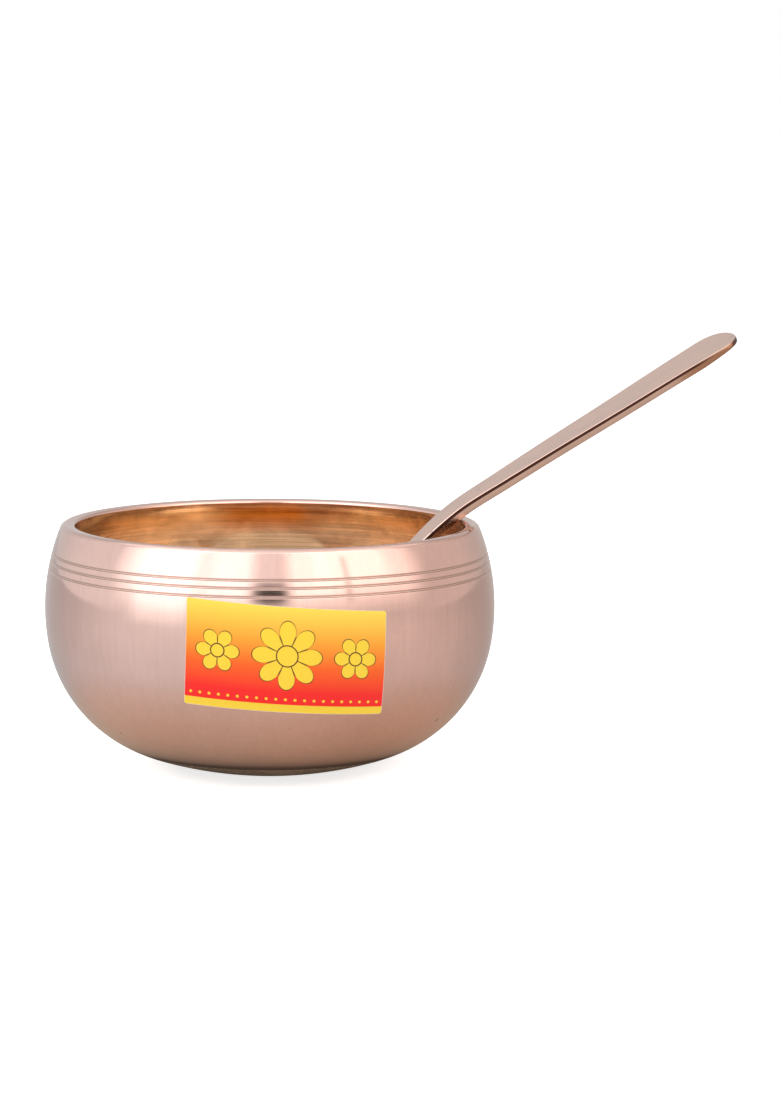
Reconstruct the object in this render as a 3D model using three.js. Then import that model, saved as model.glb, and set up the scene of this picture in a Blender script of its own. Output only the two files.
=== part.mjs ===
// Turned bell-metal bowl with its spoon and a paper label, in millimetres, +Z up.
// The origin is the centre of the foot, on the surface the bowl stands on. -Y is the front.
import * as THREE from 'three';
import { mergeVertices } from 'three/addons/utils/BufferGeometryUtils.js';

const { degToRad, lerp, smoothstep, clamp } = THREE.MathUtils;

// Bowl: the outline of the outside
const bellyRadius = 55;
const bellyHeight = 39.45;
const rimHeight = 59.89;
const shoulderRadius = 51.6;
const hipRadius = 34.5;
const hipTop = degToRad(9.8);
const hipBottom = degToRad(71.3);
const footRadius = 16;

// Bowl: the lip, well rounded outside, nearly flat on top and with a tighter round inside
const lipWidth = 3.8;
const lipOuterRound = 1.6;
const lipInnerRound = 0.8;
const lipSlope = degToRad(6);

// Bowl: metal thickness
const wallThickness = 2.2;
const floorThickness = 2.5;
const lipFade = degToRad(14);

// Bowl: three turned grooves below the lip
const grooveHeights = [49.22, 51.23, 53.03];
const grooveWidth = 0.6;
const grooveDepth = 0.3;
const bowlSides = 80;

// Label: a paper strip stuck on slightly crooked
const labelWidth = 47.1;
const labelHeight = 25.2;
const labelThickness = 0.3;
const labelGap = 0.2;
const labelTurn = degToRad(4);
const labelDrop = 4.9;
const labelTilt = degToRad(4.5);
const labelLean = degToRad(1.5);

// Spoon: where it leans
const spoonAzimuth = degToRad(13.9);
const clearance = 0.32;
const lipClearance = 0.45;
const handleSlope = degToRad(32.5);
const handleReach = 84.6;
const handleBend = [
  { share: 0.18, slope: degToRad(31.3) },
  { share: 0.35, slope: degToRad(30.85) },
  { share: 0.56, slope: degToRad(30.45) },
  { share: 0.82, slope: degToRad(30.35) },
  { share: 1, slope: degToRad(30.2) },
];
const scoopPitch = degToRad(31);
const tipRadius = 24.5;

// Spoon: widths and thicknesses
const scoopLength = 44;
const scoopWidth = 30;
const scoopDepth = 8;
const scoopThickness = 1.6;
const widestAt = 0.46;
const shoulderEnd = 1.12;
const neckWidth = 5.4;
const neckThickness = 2.6;
const handleStartWidth = 4.2;
const handleEndWidth = 19.8;
const handleThickness = 2.54;
const handleEndThickness = 2.05;
const handleTipThickness = 1.2;
const edgeChamfer = 0.35;
const endRounding = 7;
const endSquareness = 2.4;

const bronze = { color: 0xc8a08c, roughness: 0.24, metalness: 1 };
const spoonBronze = { color: 0xc4a290, roughness: 0.3, metalness: 1 };
const paper = { color: 0xf4683a, roughness: 0.6, metalness: 0 };

// The outside of the wall is three arcs, each tangent to the next: shoulder, hip and under-side.
// An angle is measured from level, positive upwards, and is the direction of the wall's normal.
const shoulderCentre = new THREE.Vector2(bellyRadius - shoulderRadius, bellyHeight);
const hipCentre = pointAt(shoulderCentre, shoulderRadius - hipRadius, -hipTop);
const underEnd = pointAt(hipCentre, hipRadius, -hipBottom);
const underRadius = tangentRadiusToFoot();
const underCentre = pointAt(underEnd, -underRadius, -hipBottom);
const footAngle = Math.acos((footRadius - underCentre.x) / underRadius);

function pointAt(centre, radius, angle) {
  return new THREE.Vector2(centre.x + radius * Math.cos(angle), centre.y + radius * Math.sin(angle));
}

// The arc that leaves the hip smoothly and reaches the edge of the foot at height 0.
function tangentRadiusToFoot() {
  const normal = new THREE.Vector2(Math.cos(hipBottom), -Math.sin(hipBottom));
  const toFoot = new THREE.Vector2(footRadius, 0).sub(underEnd);
  return -toFoot.lengthSq() / (2 * toFoot.dot(normal));
}

// A point of the wall at a normal angle, pushed inwards by a depth.
function wallPoint(angle, depth = 0) {
  if (angle > -hipTop) return pointAt(shoulderCentre, shoulderRadius - depth, angle);
  if (angle > -hipBottom) return pointAt(hipCentre, hipRadius - depth, angle);
  return pointAt(underCentre, underRadius - depth, angle);
}

function angleAtHeight(height) {
  return Math.asin((height - bellyHeight) / shoulderRadius);
}

const lipAngle = Math.asin((rimHeight - bellyHeight - lipOuterRound) / (shoulderRadius - lipOuterRound));
const lipCrest = Math.PI / 2 + lipSlope;
const outerRound = wallPoint(lipAngle, lipOuterRound);
const lipInside = outerRound.x + lipOuterRound - lipWidth;
const innerRound = innerRoundCentre();
const axisAngle = -Math.PI / 2;
const underSag = underRadius - underCentre.y;

// The top of the lip falls gently inwards from the outer round, and meets the inner round smoothly.
function innerRoundCentre() {
  const start = pointAt(outerRound, lipOuterRound - lipInnerRound, lipCrest);
  const flat = (start.x - lipInside - lipInnerRound) / Math.cos(lipSlope);
  return pointAt(start, flat, Math.PI + lipSlope);
}

// Full thickness at the lip, the wall's thickness below it, and a floor that is thicker at its middle.
function thicknessAt(angle) {
  const belowLip = smoothstep(lipAngle - angle, 0, lipFade);
  const wall = lerp(lipWidth, wallThickness, belowLip);
  const towardsAxis = smoothstep(-angle, hipBottom * 0.8, -axisAngle);
  return lerp(wall, floorThickness + underSag, towardsAxis);
}

function steps(from, to, count) {
  return Array.from({ length: count + 1 }, (_, i) => lerp(from, to, i / count));
}

// The outside from the foot to the lip, with each groove as a narrow flat-bottomed channel.
function outsideProfile() {
  const points = [new THREE.Vector2(0, 0), new THREE.Vector2(footRadius, 0)];
  for (const angle of steps(-footAngle, -hipBottom, 3).slice(1)) points.push(wallPoint(angle));
  for (const angle of steps(-hipBottom, -hipTop, 10).slice(1)) points.push(wallPoint(angle));
  const halfGroove = grooveWidth / 2 / shoulderRadius;
  const firstGroove = angleAtHeight(grooveHeights[0]) - halfGroove;
  for (const angle of steps(-hipTop, firstGroove, 4).slice(1, -1)) points.push(wallPoint(angle));
  for (const height of grooveHeights) {
    const angle = angleAtHeight(height);
    points.push(wallPoint(angle - halfGroove));
    points.push(wallPoint(angle - halfGroove / 2, grooveDepth));
    points.push(wallPoint(angle + halfGroove / 2, grooveDepth));
    points.push(wallPoint(angle + halfGroove));
  }
  const lastGroove = angleAtHeight(grooveHeights.at(-1)) + halfGroove;
  points.push(wallPoint((lastGroove + lipAngle) / 2));
  return points;
}

function lipProfile() {
  return [
    ...steps(lipAngle, lipCrest, 6).map((angle) => pointAt(outerRound, lipOuterRound, angle)),
    ...steps(lipCrest, Math.PI, 5).map((angle) => pointAt(innerRound, lipInnerRound, angle)),
  ];
}

function insideProfile() {
  const angles = [
    ...steps(lipAngle, -hipTop, 8).slice(1),
    ...steps(-hipTop, -hipBottom, 9).slice(1),
    ...steps(-hipBottom, axisAngle, 5).slice(1),
  ];
  const points = angles.map((angle) => wallPoint(angle, thicknessAt(angle)));
  points.at(-1).x = 0;
  return points;
}

// A lathe turns its profile about Y, so the finished form is stood up on Z.
function turned(profile, sides) {
  const geometry = new THREE.LatheGeometry(profile, sides);
  geometry.rotateX(Math.PI / 2);
  return sealed(geometry);
}

// One closed skin: shared corners are merged and the flat triangles at the axis go.
function sealed(geometry) {
  geometry.deleteAttribute('normal');
  geometry.deleteAttribute('uv');
  const merged = mergeVertices(geometry, 1e-4);
  const corners = merged.index.array;
  const kept = [];
  for (let i = 0; i < corners.length; i += 3) {
    const [a, b, c] = corners.slice(i, i + 3);
    if (a !== b && b !== c && c !== a) kept.push(a, b, c);
  }
  merged.setIndex(kept);
  merged.computeVertexNormals();
  return merged;
}

// Skins a row of rings, all with the same number of points, and closes both ends.
function loft(rings) {
  const around = rings[0].length;
  const positions = rings.flat().flatMap((point) => point.toArray());
  const faces = [];
  for (let ring = 0; ring < rings.length - 1; ring += 1) {
    for (let i = 0; i < around; i += 1) {
      const here = ring * around + i;
      const beside = ring * around + (i + 1) % around;
      faces.push(here, beside, beside + around, here, beside + around, here + around);
    }
  }
  const half = around / 2;
  const last = (rings.length - 1) * around;
  for (let i = 0; i < half - 1; i += 1) {
    const over = around - 1 - i;
    const nextOver = around - 2 - i;
    faces.push(i, over, nextOver, i, nextOver, i + 1);
    faces.push(last + i, last + nextOver, last + over, last + i, last + i + 1, last + nextOver);
  }
  const geometry = new THREE.BufferGeometry();
  geometry.setAttribute('position', new THREE.Float32BufferAttribute(positions, 3));
  geometry.setIndex(faces);
  return geometry;
}

// Where the handle's underside rests on the lip, and where the top of the handle is above that place.
// The rim curves in under both edges of the handle, so its middle stands a little higher.
const restOnLip = pointAt(innerRound, lipInnerRound + lipClearance, handleSlope + Math.PI / 2);
const handleOnLip = pointAt(restOnLip, handleThickness, handleSlope + Math.PI / 2);

// The spoon's side view, from the tip of the scoop to the end of the handle, as the line of its top.
// x is the distance out from the bowl's axis and y the height. Past the lip the handle bends slightly:
// each of its points is a share of the reach along a line at a slope in degrees.
const tipAngle = axisAngle + Math.asin((tipRadius - underCentre.x) / underRadius);
const tipFloor = wallPoint(tipAngle, thicknessAt(tipAngle));
const tipRise = clearance + scoopThickness * Math.cos(scoopPitch);
const scoopTip = new THREE.Vector2(-tipRadius, tipFloor.y + tipRise);
const scoopEnd = pointAt(scoopTip, scoopLength, scoopPitch);
const sidePoints = [
  scoopTip,
  pointAt(scoopTip, scoopLength * 0.5, scoopPitch),
  pointAt(scoopTip, scoopLength * 0.9, scoopPitch),
  new THREE.Vector2(lerp(scoopEnd.x, handleOnLip.x, 0.3), lerp(scoopEnd.y, handleOnLip.y, 0.33)),
  new THREE.Vector2(lerp(scoopEnd.x, handleOnLip.x, 0.7), lerp(scoopEnd.y, handleOnLip.y, 0.74)),
  handleOnLip,
  ...handleBend.map(({ share, slope }) => pointAt(handleOnLip, handleReach * share, slope)),
];
const sideLine = new THREE.CatmullRomCurve3(
  sidePoints.map((point) => new THREE.Vector3(point.x, 0, point.y)),
);
const spoonLength = sideLine.getLength();
const lipAlong = lengthTo(sidePoints.indexOf(handleOnLip));

// The distance along the spoon at which its side line passes one of the points it is drawn through.
function lengthTo(index) {
  const stepsBetween = 20;
  const lengths = sideLine.getLengths(stepsBetween * (sideLine.points.length - 1));
  return lengths[index * stepsBetween];
}

// Eases from 1 down to 0 between two places, level at both.
function easeOut(value, from, to) {
  return (1 + Math.cos(Math.PI * clamp((value - from) / (to - from), 0, 1))) / 2;
}

// The share of the full value that a quarter of an ellipse has reached, from 0 at the tip.
function quarterOval(value, full) {
  return Math.sqrt(1 - (1 - clamp(value / full, 0, 1)) ** 2);
}

// Half the width at a distance from the tip: an egg-shaped scoop whose shoulders flow into a narrow
// neck, and a handle that widens to a rounded end.
function halfWidth(along) {
  const scoop = along / scoopLength;
  const towardsEnd = clamp((along - scoopLength) / (spoonLength - scoopLength), 0, 1);
  const handle = lerp(handleStartWidth, handleEndWidth, towardsEnd);
  const shank = lerp(neckWidth, handle, smoothstep(towardsEnd, 0.05, 0.33));
  const shoulder = lerp(shank, scoopWidth, easeOut(scoop, widestAt, shoulderEnd));
  const pastRounding = clamp((along - spoonLength + endRounding) / endRounding, 0, 1);
  const rounding = (1 - pastRounding ** endSquareness) ** (1 / endSquareness);
  return Math.max(shoulder / 2 * quarterOval(scoop, widestAt) * rounding, 2 * edgeChamfer);
}

function hollowAt(along) {
  const scoop = along / scoopLength;
  return scoopDepth * (1 - (1 - clamp(2 * scoop, 0, 1)) ** 2) * easeOut(scoop, 0.5, 1);
}

function metalAt(along) {
  const intoNeck = smoothstep(along, scoopLength * 0.75, scoopLength);
  const intoHandle = smoothstep(along, scoopLength, 0.9 * lipAlong);
  const pastLip = clamp((along - lipAlong) / (spoonLength - lipAlong), 0, 1);
  const intoTip = smoothstep(along, spoonLength - 2 * endRounding, spoonLength);
  const handle = lerp(lerp(handleThickness, handleEndThickness, pastLip), handleTipThickness, intoTip);
  return lerp(lerp(scoopThickness, neckThickness, intoNeck), handle, intoHandle);
}

// One ring across the spoon: the top from one side to the other, then the underside back again.
// The underside is the top pushed in by the metal's thickness, square to the hollow.
function spoonRing(along) {
  const place = sideLine.getPointAt(clamp(along / spoonLength, 0, 1));
  const forward = sideLine.getTangentAt(clamp(along / spoonLength, 0, 1));
  const up = new THREE.Vector3(-forward.z, 0, forward.x);
  const half = halfWidth(along);
  const hollow = hollowAt(along);
  const metal = metalAt(along);
  const across = 12;
  const top = [];
  const under = [];
  for (let i = 0; i <= across; i += 1) {
    const side = (i / across) * 2 - 1;
    const depth = hollow * (1 - side * side);
    const slope = Math.atan2(2 * hollow * side, half);
    const flat = half - edgeChamfer;
    top.push([side * flat, -depth]);
    under.push([side * flat + metal * Math.sin(slope), -depth - metal * Math.cos(slope)]);
  }
  const outer = Math.max(half, Math.abs(under[0][0]) + edgeChamfer * 0.5);
  const edgeTop = -Math.min(edgeChamfer, metal / 3);
  const edgeUnder = (under[0][1] + edgeTop) / 2;
  const outline = [
    ...top, [half, edgeTop], [outer, edgeUnder],
    ...under.reverse(), [-outer, edgeUnder], [-half, edgeTop],
  ];
  return outline.map(([sideways, rise]) => (
    new THREE.Vector3(place.x, -sideways, place.z).addScaledVector(up, rise)
  ));
}

function spoonGeometry() {
  const tipStations = steps(0, Math.PI / 2, 9).map((turn) => scoopLength / 2 * (1 - Math.cos(turn)));
  const shoulderStations = steps(scoopLength / 2, scoopLength * shoulderEnd, 12).slice(1);
  const shankStations = steps(scoopLength * shoulderEnd, spoonLength - endRounding, 21).slice(1);
  const endStations = steps(0, Math.PI / 2, 7).slice(1)
    .map((turn) => spoonLength - endRounding + endRounding * Math.sin(turn));
  const stations = [...tipStations, ...shoulderStations, ...shankStations, ...endStations];
  return sealed(loft(stations.map(spoonRing)));
}

// A point over the belly: sideways and up are distances measured on the bowl's skin.
function overBelly(sideways, up, height) {
  const hipStart = -hipTop * shoulderRadius;
  const angle = up > hipStart ? up / shoulderRadius : -hipTop + (up - hipStart) / hipRadius;
  const skin = wallPoint(angle);
  const over = wallPoint(angle, -height);
  const around = labelTurn + sideways / skin.x;
  return new THREE.Vector3(over.x * Math.sin(around), -over.x * Math.cos(around), over.y);
}

// The strip as a row of thin upright rings, each running up its back and down its outer face.
function labelGeometry() {
  const columns = 22;
  const rows = 8;
  const rings = steps(-labelWidth / 2, labelWidth / 2, columns).map((along) => {
    const spot = (up, height) => overBelly(
      along + up * Math.sin(labelLean),
      up - along * Math.sin(labelTilt) - labelDrop,
      height,
    );
    const ups = steps(-labelHeight / 2, labelHeight / 2, rows);
    const back = ups.map((up) => spot(up, labelGap));
    const face = ups.reverse().map((up) => spot(up, labelGap + labelThickness));
    return [...back, ...face];
  });
  return sealed(loft(rings));
}

function named(name, geometry, look) {
  const mesh = new THREE.Mesh(geometry, new THREE.MeshStandardMaterial(look));
  mesh.name = name;
  return mesh;
}

const bowlProfile = [...outsideProfile(), ...lipProfile(), ...insideProfile()];
const bowl = named('bowl', turned(bowlProfile, bowlSides), bronze);
const label = named('label', labelGeometry(), paper);
const spoon = named('spoon', spoonGeometry(), spoonBronze);
const leaning = new THREE.Group();
leaning.rotation.z = spoonAzimuth;
leaning.add(spoon);

const group = new THREE.Group();
group.add(bowl, label, leaning);

export default group;
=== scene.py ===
# %% [markdown]
# A bell-metal bowl with its spoon, seen as a studio photograph shows it.
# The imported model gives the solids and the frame: metres, +Z up, the origin under the bowl's foot,
# -Y towards the camera. Everything below is dressed over those solids.

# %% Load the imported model
import math
import bpy
import bmesh
from mathutils import Matrix, Vector


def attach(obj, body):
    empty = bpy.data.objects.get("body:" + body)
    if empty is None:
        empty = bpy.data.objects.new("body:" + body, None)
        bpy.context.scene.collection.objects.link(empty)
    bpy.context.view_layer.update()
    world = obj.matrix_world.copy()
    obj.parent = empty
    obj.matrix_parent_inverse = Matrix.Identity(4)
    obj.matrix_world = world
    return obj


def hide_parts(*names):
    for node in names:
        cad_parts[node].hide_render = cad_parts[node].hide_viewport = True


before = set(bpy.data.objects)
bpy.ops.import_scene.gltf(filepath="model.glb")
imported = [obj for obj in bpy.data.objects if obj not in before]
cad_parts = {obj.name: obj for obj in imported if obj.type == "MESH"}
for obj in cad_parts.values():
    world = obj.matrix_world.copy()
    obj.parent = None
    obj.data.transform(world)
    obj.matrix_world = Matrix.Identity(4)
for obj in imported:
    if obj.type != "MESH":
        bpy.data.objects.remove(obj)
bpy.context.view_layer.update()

# %% [markdown]
# The camera stands 80 cm in front of the bowl, a little above it, and looks slightly down. It was placed
# by fitting the outline of the bowl in the photograph, so that ellipses of the lip and the grooves open
# by the right amount. A long lens keeps the perspective as flat as in the photograph.

# %% Camera
CAMERA_PLACE = Vector((0.0, -0.800, 0.15943))
CAMERA_YAW = math.radians(2.097)
CAMERA_PITCH = math.radians(7.637)
CAMERA_ROLL = math.radians(0.342)
FOCAL_PIXELS = 3295.6
FRAME_HEIGHT_PIXELS = 1108
SENSOR = 36.0
NEAREST_SEEN = 0.01


def add_object(name, data):
    made = bpy.data.objects.new(name, data)
    bpy.context.scene.collection.objects.link(made)
    return made


def camera_axes():
    ahead = Vector((
        math.sin(CAMERA_YAW) * math.cos(CAMERA_PITCH),
        math.cos(CAMERA_YAW) * math.cos(CAMERA_PITCH),
        -math.sin(CAMERA_PITCH),
    ))
    level = ahead.cross(Vector((0, 0, 1))).normalized()
    over = level.cross(ahead)
    right = level * math.cos(CAMERA_ROLL) + over * math.sin(CAMERA_ROLL)
    up = over * math.cos(CAMERA_ROLL) - level * math.sin(CAMERA_ROLL)
    return right, up, ahead


def make_camera():
    data = bpy.data.cameras.new("studio_camera")
    data.sensor_width = SENSOR
    data.lens = FOCAL_PIXELS / FRAME_HEIGHT_PIXELS * SENSOR
    data.clip_start = NEAREST_SEEN
    camera = add_object("studio_camera", data)
    right, up, ahead = camera_axes()
    turn = Matrix((right, up, -ahead)).transposed().to_4x4()
    camera.matrix_world = Matrix.Translation(CAMERA_PLACE) @ turn
    bpy.context.scene.camera = camera
    print("camera lens", round(data.lens, 2), "mm")


make_camera()
bpy.context.scene.view_settings.view_transform = "Standard"

# %% [markdown]
# Small helpers keep the node trees readable: each makes one node, wires its inputs and hands back the
# output, so that a pattern can be written almost like a formula.

# %% Node helpers


def put(tree, socket, value):
    if isinstance(value, bpy.types.NodeSocket):
        tree.links.new(value, socket)
    else:
        socket.default_value = value


def calc(tree, operation, *values):
    node = tree.nodes.new("ShaderNodeMath")
    node.operation = operation
    for socket, value in zip(node.inputs, values):
        put(tree, socket, value)
    return node.outputs[0]


def remap(tree, value, low, high, to_low=0.0, to_high=1.0, smooth=True):
    node = tree.nodes.new("ShaderNodeMapRange")
    node.interpolation_type = "SMOOTHSTEP" if smooth else "LINEAR"
    for name, setting in (
        ("Value", value), ("From Min", low), ("From Max", high), ("To Min", to_low), ("To Max", to_high),
    ):
        put(tree, node.inputs[name], setting)
    return node.outputs[0]


def blend(tree, share, first, second, kind="MIX"):
    node = tree.nodes.new("ShaderNodeMix")
    node.data_type = "RGBA"
    node.blend_type = kind
    # a Mix node keeps one set of sockets for each data type, and the colour set comes last
    for socket, value in ((node.inputs[0], share), (node.inputs[6], first), (node.inputs[7], second)):
        put(tree, socket, value)
    return node.outputs[2]


def noise(tree, place, size, detail=2.0, rough=0.5, drift=None):
    node = tree.nodes.new("ShaderNodeTexNoise")
    node.noise_dimensions = "3D" if drift is None else "4D"
    put(tree, node.inputs["Vector"], place)
    put(tree, node.inputs["Scale"], size)
    put(tree, node.inputs["Detail"], detail)
    put(tree, node.inputs["Roughness"], rough)
    if drift is not None:
        put(tree, node.inputs["W"], drift)
    return node.outputs["Fac"]


def vector(tree, x, y, z):
    node = tree.nodes.new("ShaderNodeCombineXYZ")
    for socket, value in zip(node.inputs, (x, y, z)):
        put(tree, socket, value)
    return node.outputs[0]


def parts(tree, value):
    node = tree.nodes.new("ShaderNodeSeparateXYZ")
    put(tree, node.inputs[0], value)
    return node.outputs[0], node.outputs[1], node.outputs[2]


def attribute(tree, name, output="Fac"):
    node = tree.nodes.new("ShaderNodeAttribute")
    node.attribute_name = name
    return node.outputs[output]


def object_place(tree):
    return tree.nodes.new("ShaderNodeTexCoord").outputs["Object"]


def scaled(tree, place, size):
    node = tree.nodes.new("ShaderNodeVectorMath")
    node.operation = "SCALE"
    put(tree, node.inputs[0], place)
    put(tree, node.inputs["Scale"], size)
    return node.outputs[0]


print("node helpers ready: each hands back the output of one node")

# %% [markdown]
# Three formulas come back again and again: a distance, a direction round the bowl, and a stretch between two
# soft edges. Each could be a node group of its own. In a script, a short function is as easy to reuse, and
# the finished tree shows all its nodes at one level.

# %% Small formulas


def distance_of(tree, x, y):
    squares = calc(tree, "ADD", calc(tree, "MULTIPLY", x, x), calc(tree, "MULTIPLY", y, y))
    return calc(tree, "SQRT", squares)


def azimuth_of(tree, x, y):
    """Degrees from the front, which is -Y, towards the right."""
    return calc(tree, "DEGREES", calc(tree, "ARCTAN2", x, calc(tree, "MULTIPLY", y, -1.0)))


def between(tree, value, low, high, soft):
    rise = remap(tree, value, low - soft, low + soft)
    fall = remap(tree, value, high - soft, high + soft, 1.0, 0.0)
    return calc(tree, "MULTIPLY", rise, fall)


print("formulas ready: distance, azimuth and a stretch between soft edges")

# %% [markdown]
# The photograph has a pure white surround and large soft lights. Metal shows whatever is around it, so the
# surround is most of the finish. It is a wide bright front with brighter panels, plain sides that grow dim
# behind the bowl, a dark gap where the camera stands, and the photographer's dim column above it. The right
# side is a little warmer. Each was read back from the place on the bowl that mirrors it. The matt light is
# set apart, so that colours on paper come out as written.

# %% World
LEFT_SIDE_LEVEL = 1.18
RIGHT_SIDE_LEVEL = 0.96
FILL_LEVEL = 0.50
DARKEST_LEVEL = 0.03
# the degrees from the front between which the light falls off, and its share behind the bowl
DIM_BEHIND = (105, 160)
BEHIND_SHARE = 0.66
# x runs from -1 at the left to 1 at the right: between which x the level and the tint change
LEVEL_RANGE = (-0.9, 0.9)
TINT_RANGE = (-0.6, 0.9)
WHITE = (1.0, 1.0, 1.0, 1.0)
RIGHT_TINT = (1.0, 0.90, 0.84, 1.0)
# azimuth from and to, elevation from and to, softness and level, in degrees from the front towards the right
BRIGHT_FRONT = (-86, 83, 8, 58, 9, 0.95)
LEFT_PANEL = (-74, -42, 0, 58, 7, 0.75)
RIGHT_PANEL = (26, 67, 16, 58, 6, 0.60)
MIDDLE_PANEL = (-32, 30, 13, 58, 4, 0.35)
DIM_COLUMN = (-10, 10, 12, 58, 5, -0.92)
CAMERA_GAP = (-8, 8, 11.5, 18.0, 6, -3.1)
LIGHT_STAND = (40, 43, 10, 32, 2, -1.0)
OVERHEAD = (-200, 200, 44, 96, 5, 0.45)


def seen_or_mirrored(tree):
    path = tree.nodes.new("ShaderNodeLightPath")
    mirrored = calc(tree, "MAXIMUM", path.outputs["Is Glossy Ray"], path.outputs["Is Transmission Ray"])
    return path.outputs["Is Camera Ray"], mirrored


def side_tint(tree, x):
    """The light's colour from the left to the right, where x runs from -1 to 1."""
    return blend(tree, remap(tree, x, *TINT_RANGE), WHITE, RIGHT_TINT)


def mirrored_surround(tree):
    """The colour and the level of the surround in each direction, as the metal sees it."""
    x, y, z = parts(tree, tree.nodes.new("ShaderNodeTexCoord").outputs["Generated"])
    azimuth = azimuth_of(tree, x, y)
    elevation = calc(tree, "DEGREES", calc(tree, "ARCSINE", z))
    behind = remap(tree, calc(tree, "ABSOLUTE", azimuth), *DIM_BEHIND, 1.0, BEHIND_SHARE)
    level = remap(tree, x, *LEVEL_RANGE, LEFT_SIDE_LEVEL, RIGHT_SIDE_LEVEL)
    level = calc(tree, "MULTIPLY", level, behind)
    for left, right, low, high, soft, change in (
        BRIGHT_FRONT, LEFT_PANEL, RIGHT_PANEL, MIDDLE_PANEL, DIM_COLUMN, CAMERA_GAP, LIGHT_STAND, OVERHEAD,
    ):
        share = calc(tree, "MULTIPLY", between(tree, azimuth, left, right, soft),
                     between(tree, elevation, low, high, soft))
        level = calc(tree, "MULTIPLY_ADD", share, change, level)
    return side_tint(tree, x), calc(tree, "MAXIMUM", level, DARKEST_LEVEL)


def make_world():
    world = bpy.data.worlds.new("studio")
    world.use_nodes = True
    bpy.context.scene.world = world
    tree = world.node_tree
    tree.nodes.clear()
    seen, mirrored = seen_or_mirrored(tree)
    tint, surround = mirrored_surround(tree)
    strength = calc(tree, "MULTIPLY_ADD", mirrored, calc(tree, "SUBTRACT", surround, FILL_LEVEL), FILL_LEVEL)
    strength = calc(tree, "MULTIPLY_ADD", seen, calc(tree, "SUBTRACT", 1.0, strength), strength)
    background = tree.nodes.new("ShaderNodeBackground")
    put(tree, background.inputs["Color"], blend(tree, mirrored, WHITE, tint))
    put(tree, background.inputs["Strength"], strength)
    output = tree.nodes.new("ShaderNodeOutputWorld")
    tree.links.new(background.outputs[0], output.inputs["Surface"])
    print("world levels", RIGHT_SIDE_LEVEL, "to", LEFT_SIDE_LEVEL + BRIGHT_FRONT[-1] + LEFT_PANEL[-1])


make_world()

# %% [markdown]
# Two soft boxes stand left and right of the camera, and a third hangs almost straight above the bowl. The
# two in front stand where the white patches between the lip and the grooves mirror them. A lamp has hard
# edges, though, and those patches fade softly. So the metal doesn't mirror the lamps: the bright panels of
# the surround take their place, while the lamps light whatever is matt and cast the shadow.

# %% Soft boxes
BOWL_MIDDLE = Vector((0.0, 0.0, 0.04))
# name, azimuth and elevation in degrees, then distance, width and height in metres, and watts
SOFT_BOXES = (
    ("left_soft_box", -57, 30, 1.0, 0.40, 0.34, 3.4),
    ("right_soft_box", 42, 31, 1.0, 0.36, 0.30, 2.8),
    ("top_soft_box", 180, 84, 1.2, 0.60, 0.50, 5.0),
)


def soft_box(name, azimuth, elevation, distance, width, height, watts):
    data = bpy.data.lights.new(name, "AREA")
    data.shape = "RECTANGLE"
    data.size = width
    data.size_y = height
    data.energy = watts
    lamp = add_object(name, data)
    lamp.visible_glossy = False
    turn, rise = math.radians(azimuth), math.radians(elevation)
    away = Vector((
        math.sin(turn) * math.cos(rise),
        -math.cos(turn) * math.cos(rise),
        math.sin(rise),
    ))
    lamp.location = BOWL_MIDDLE + away * distance
    lamp.rotation_euler = away.to_track_quat("Z", "Y").to_euler()
    print(name, "at", tuple(round(v, 2) for v in lamp.location))


for row in SOFT_BOXES:
    soft_box(*row)

# %% [markdown]
# The floor is plain white paper. It is a matt surface that keeps the bowl's soft shadow, with a little glow
# for the camera that lifts it to the white of the photograph. The metal mirrors the floor too, and there it
# is darkest near the foot, where the bowl keeps the light off. So for the mirrored view, the level climbs
# with the distance from the foot, steeply and then slowly, as it does on the under-side of the bowl in the
# photograph. The shade near the foot is warm, because that paper is lit by light off the bronze. Further
# out, the paper also takes up some of the light of the panel at the left.

# %% Floor
FLOOR_HALF = 3.0
FLOOR_GLOW = 0.76
PAPER_WHITE = (0.86, 0.86, 0.86, 1.0)
# how much the mirrored level gains in a climb, and over which distance
STEEP_CLIMB = (0.66, 0.0085)
SLOW_CLIMB = (0.48, 0.070)
DARK_RADIUS = 0.029
SMALLEST_DISTANCE = 0.001
# the degrees from the front between which the mirrored floor grows dim, and its share behind the bowl
FLOOR_DIM_BEHIND = (55, 145)
FLOOR_BEHIND_SHARE = 0.56
# straight ahead is 0 and straight to the right is 1: between which of these it grows dim, and its share
FLOOR_RIGHT_RANGE = (0.0, 0.9)
FLOOR_RIGHT_SHARE = 0.90
# the left panel stands on the floor, so the floor takes up its light between these two distances
PANEL_ON_FLOOR = (0.30, 1.50)
# the shade's colour, and the distances from the axis between which it turns white
WARM_SHADE = (1.0, 0.78, 0.60, 1.0)
WARM_RANGE = (0.032, 0.110)


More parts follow.
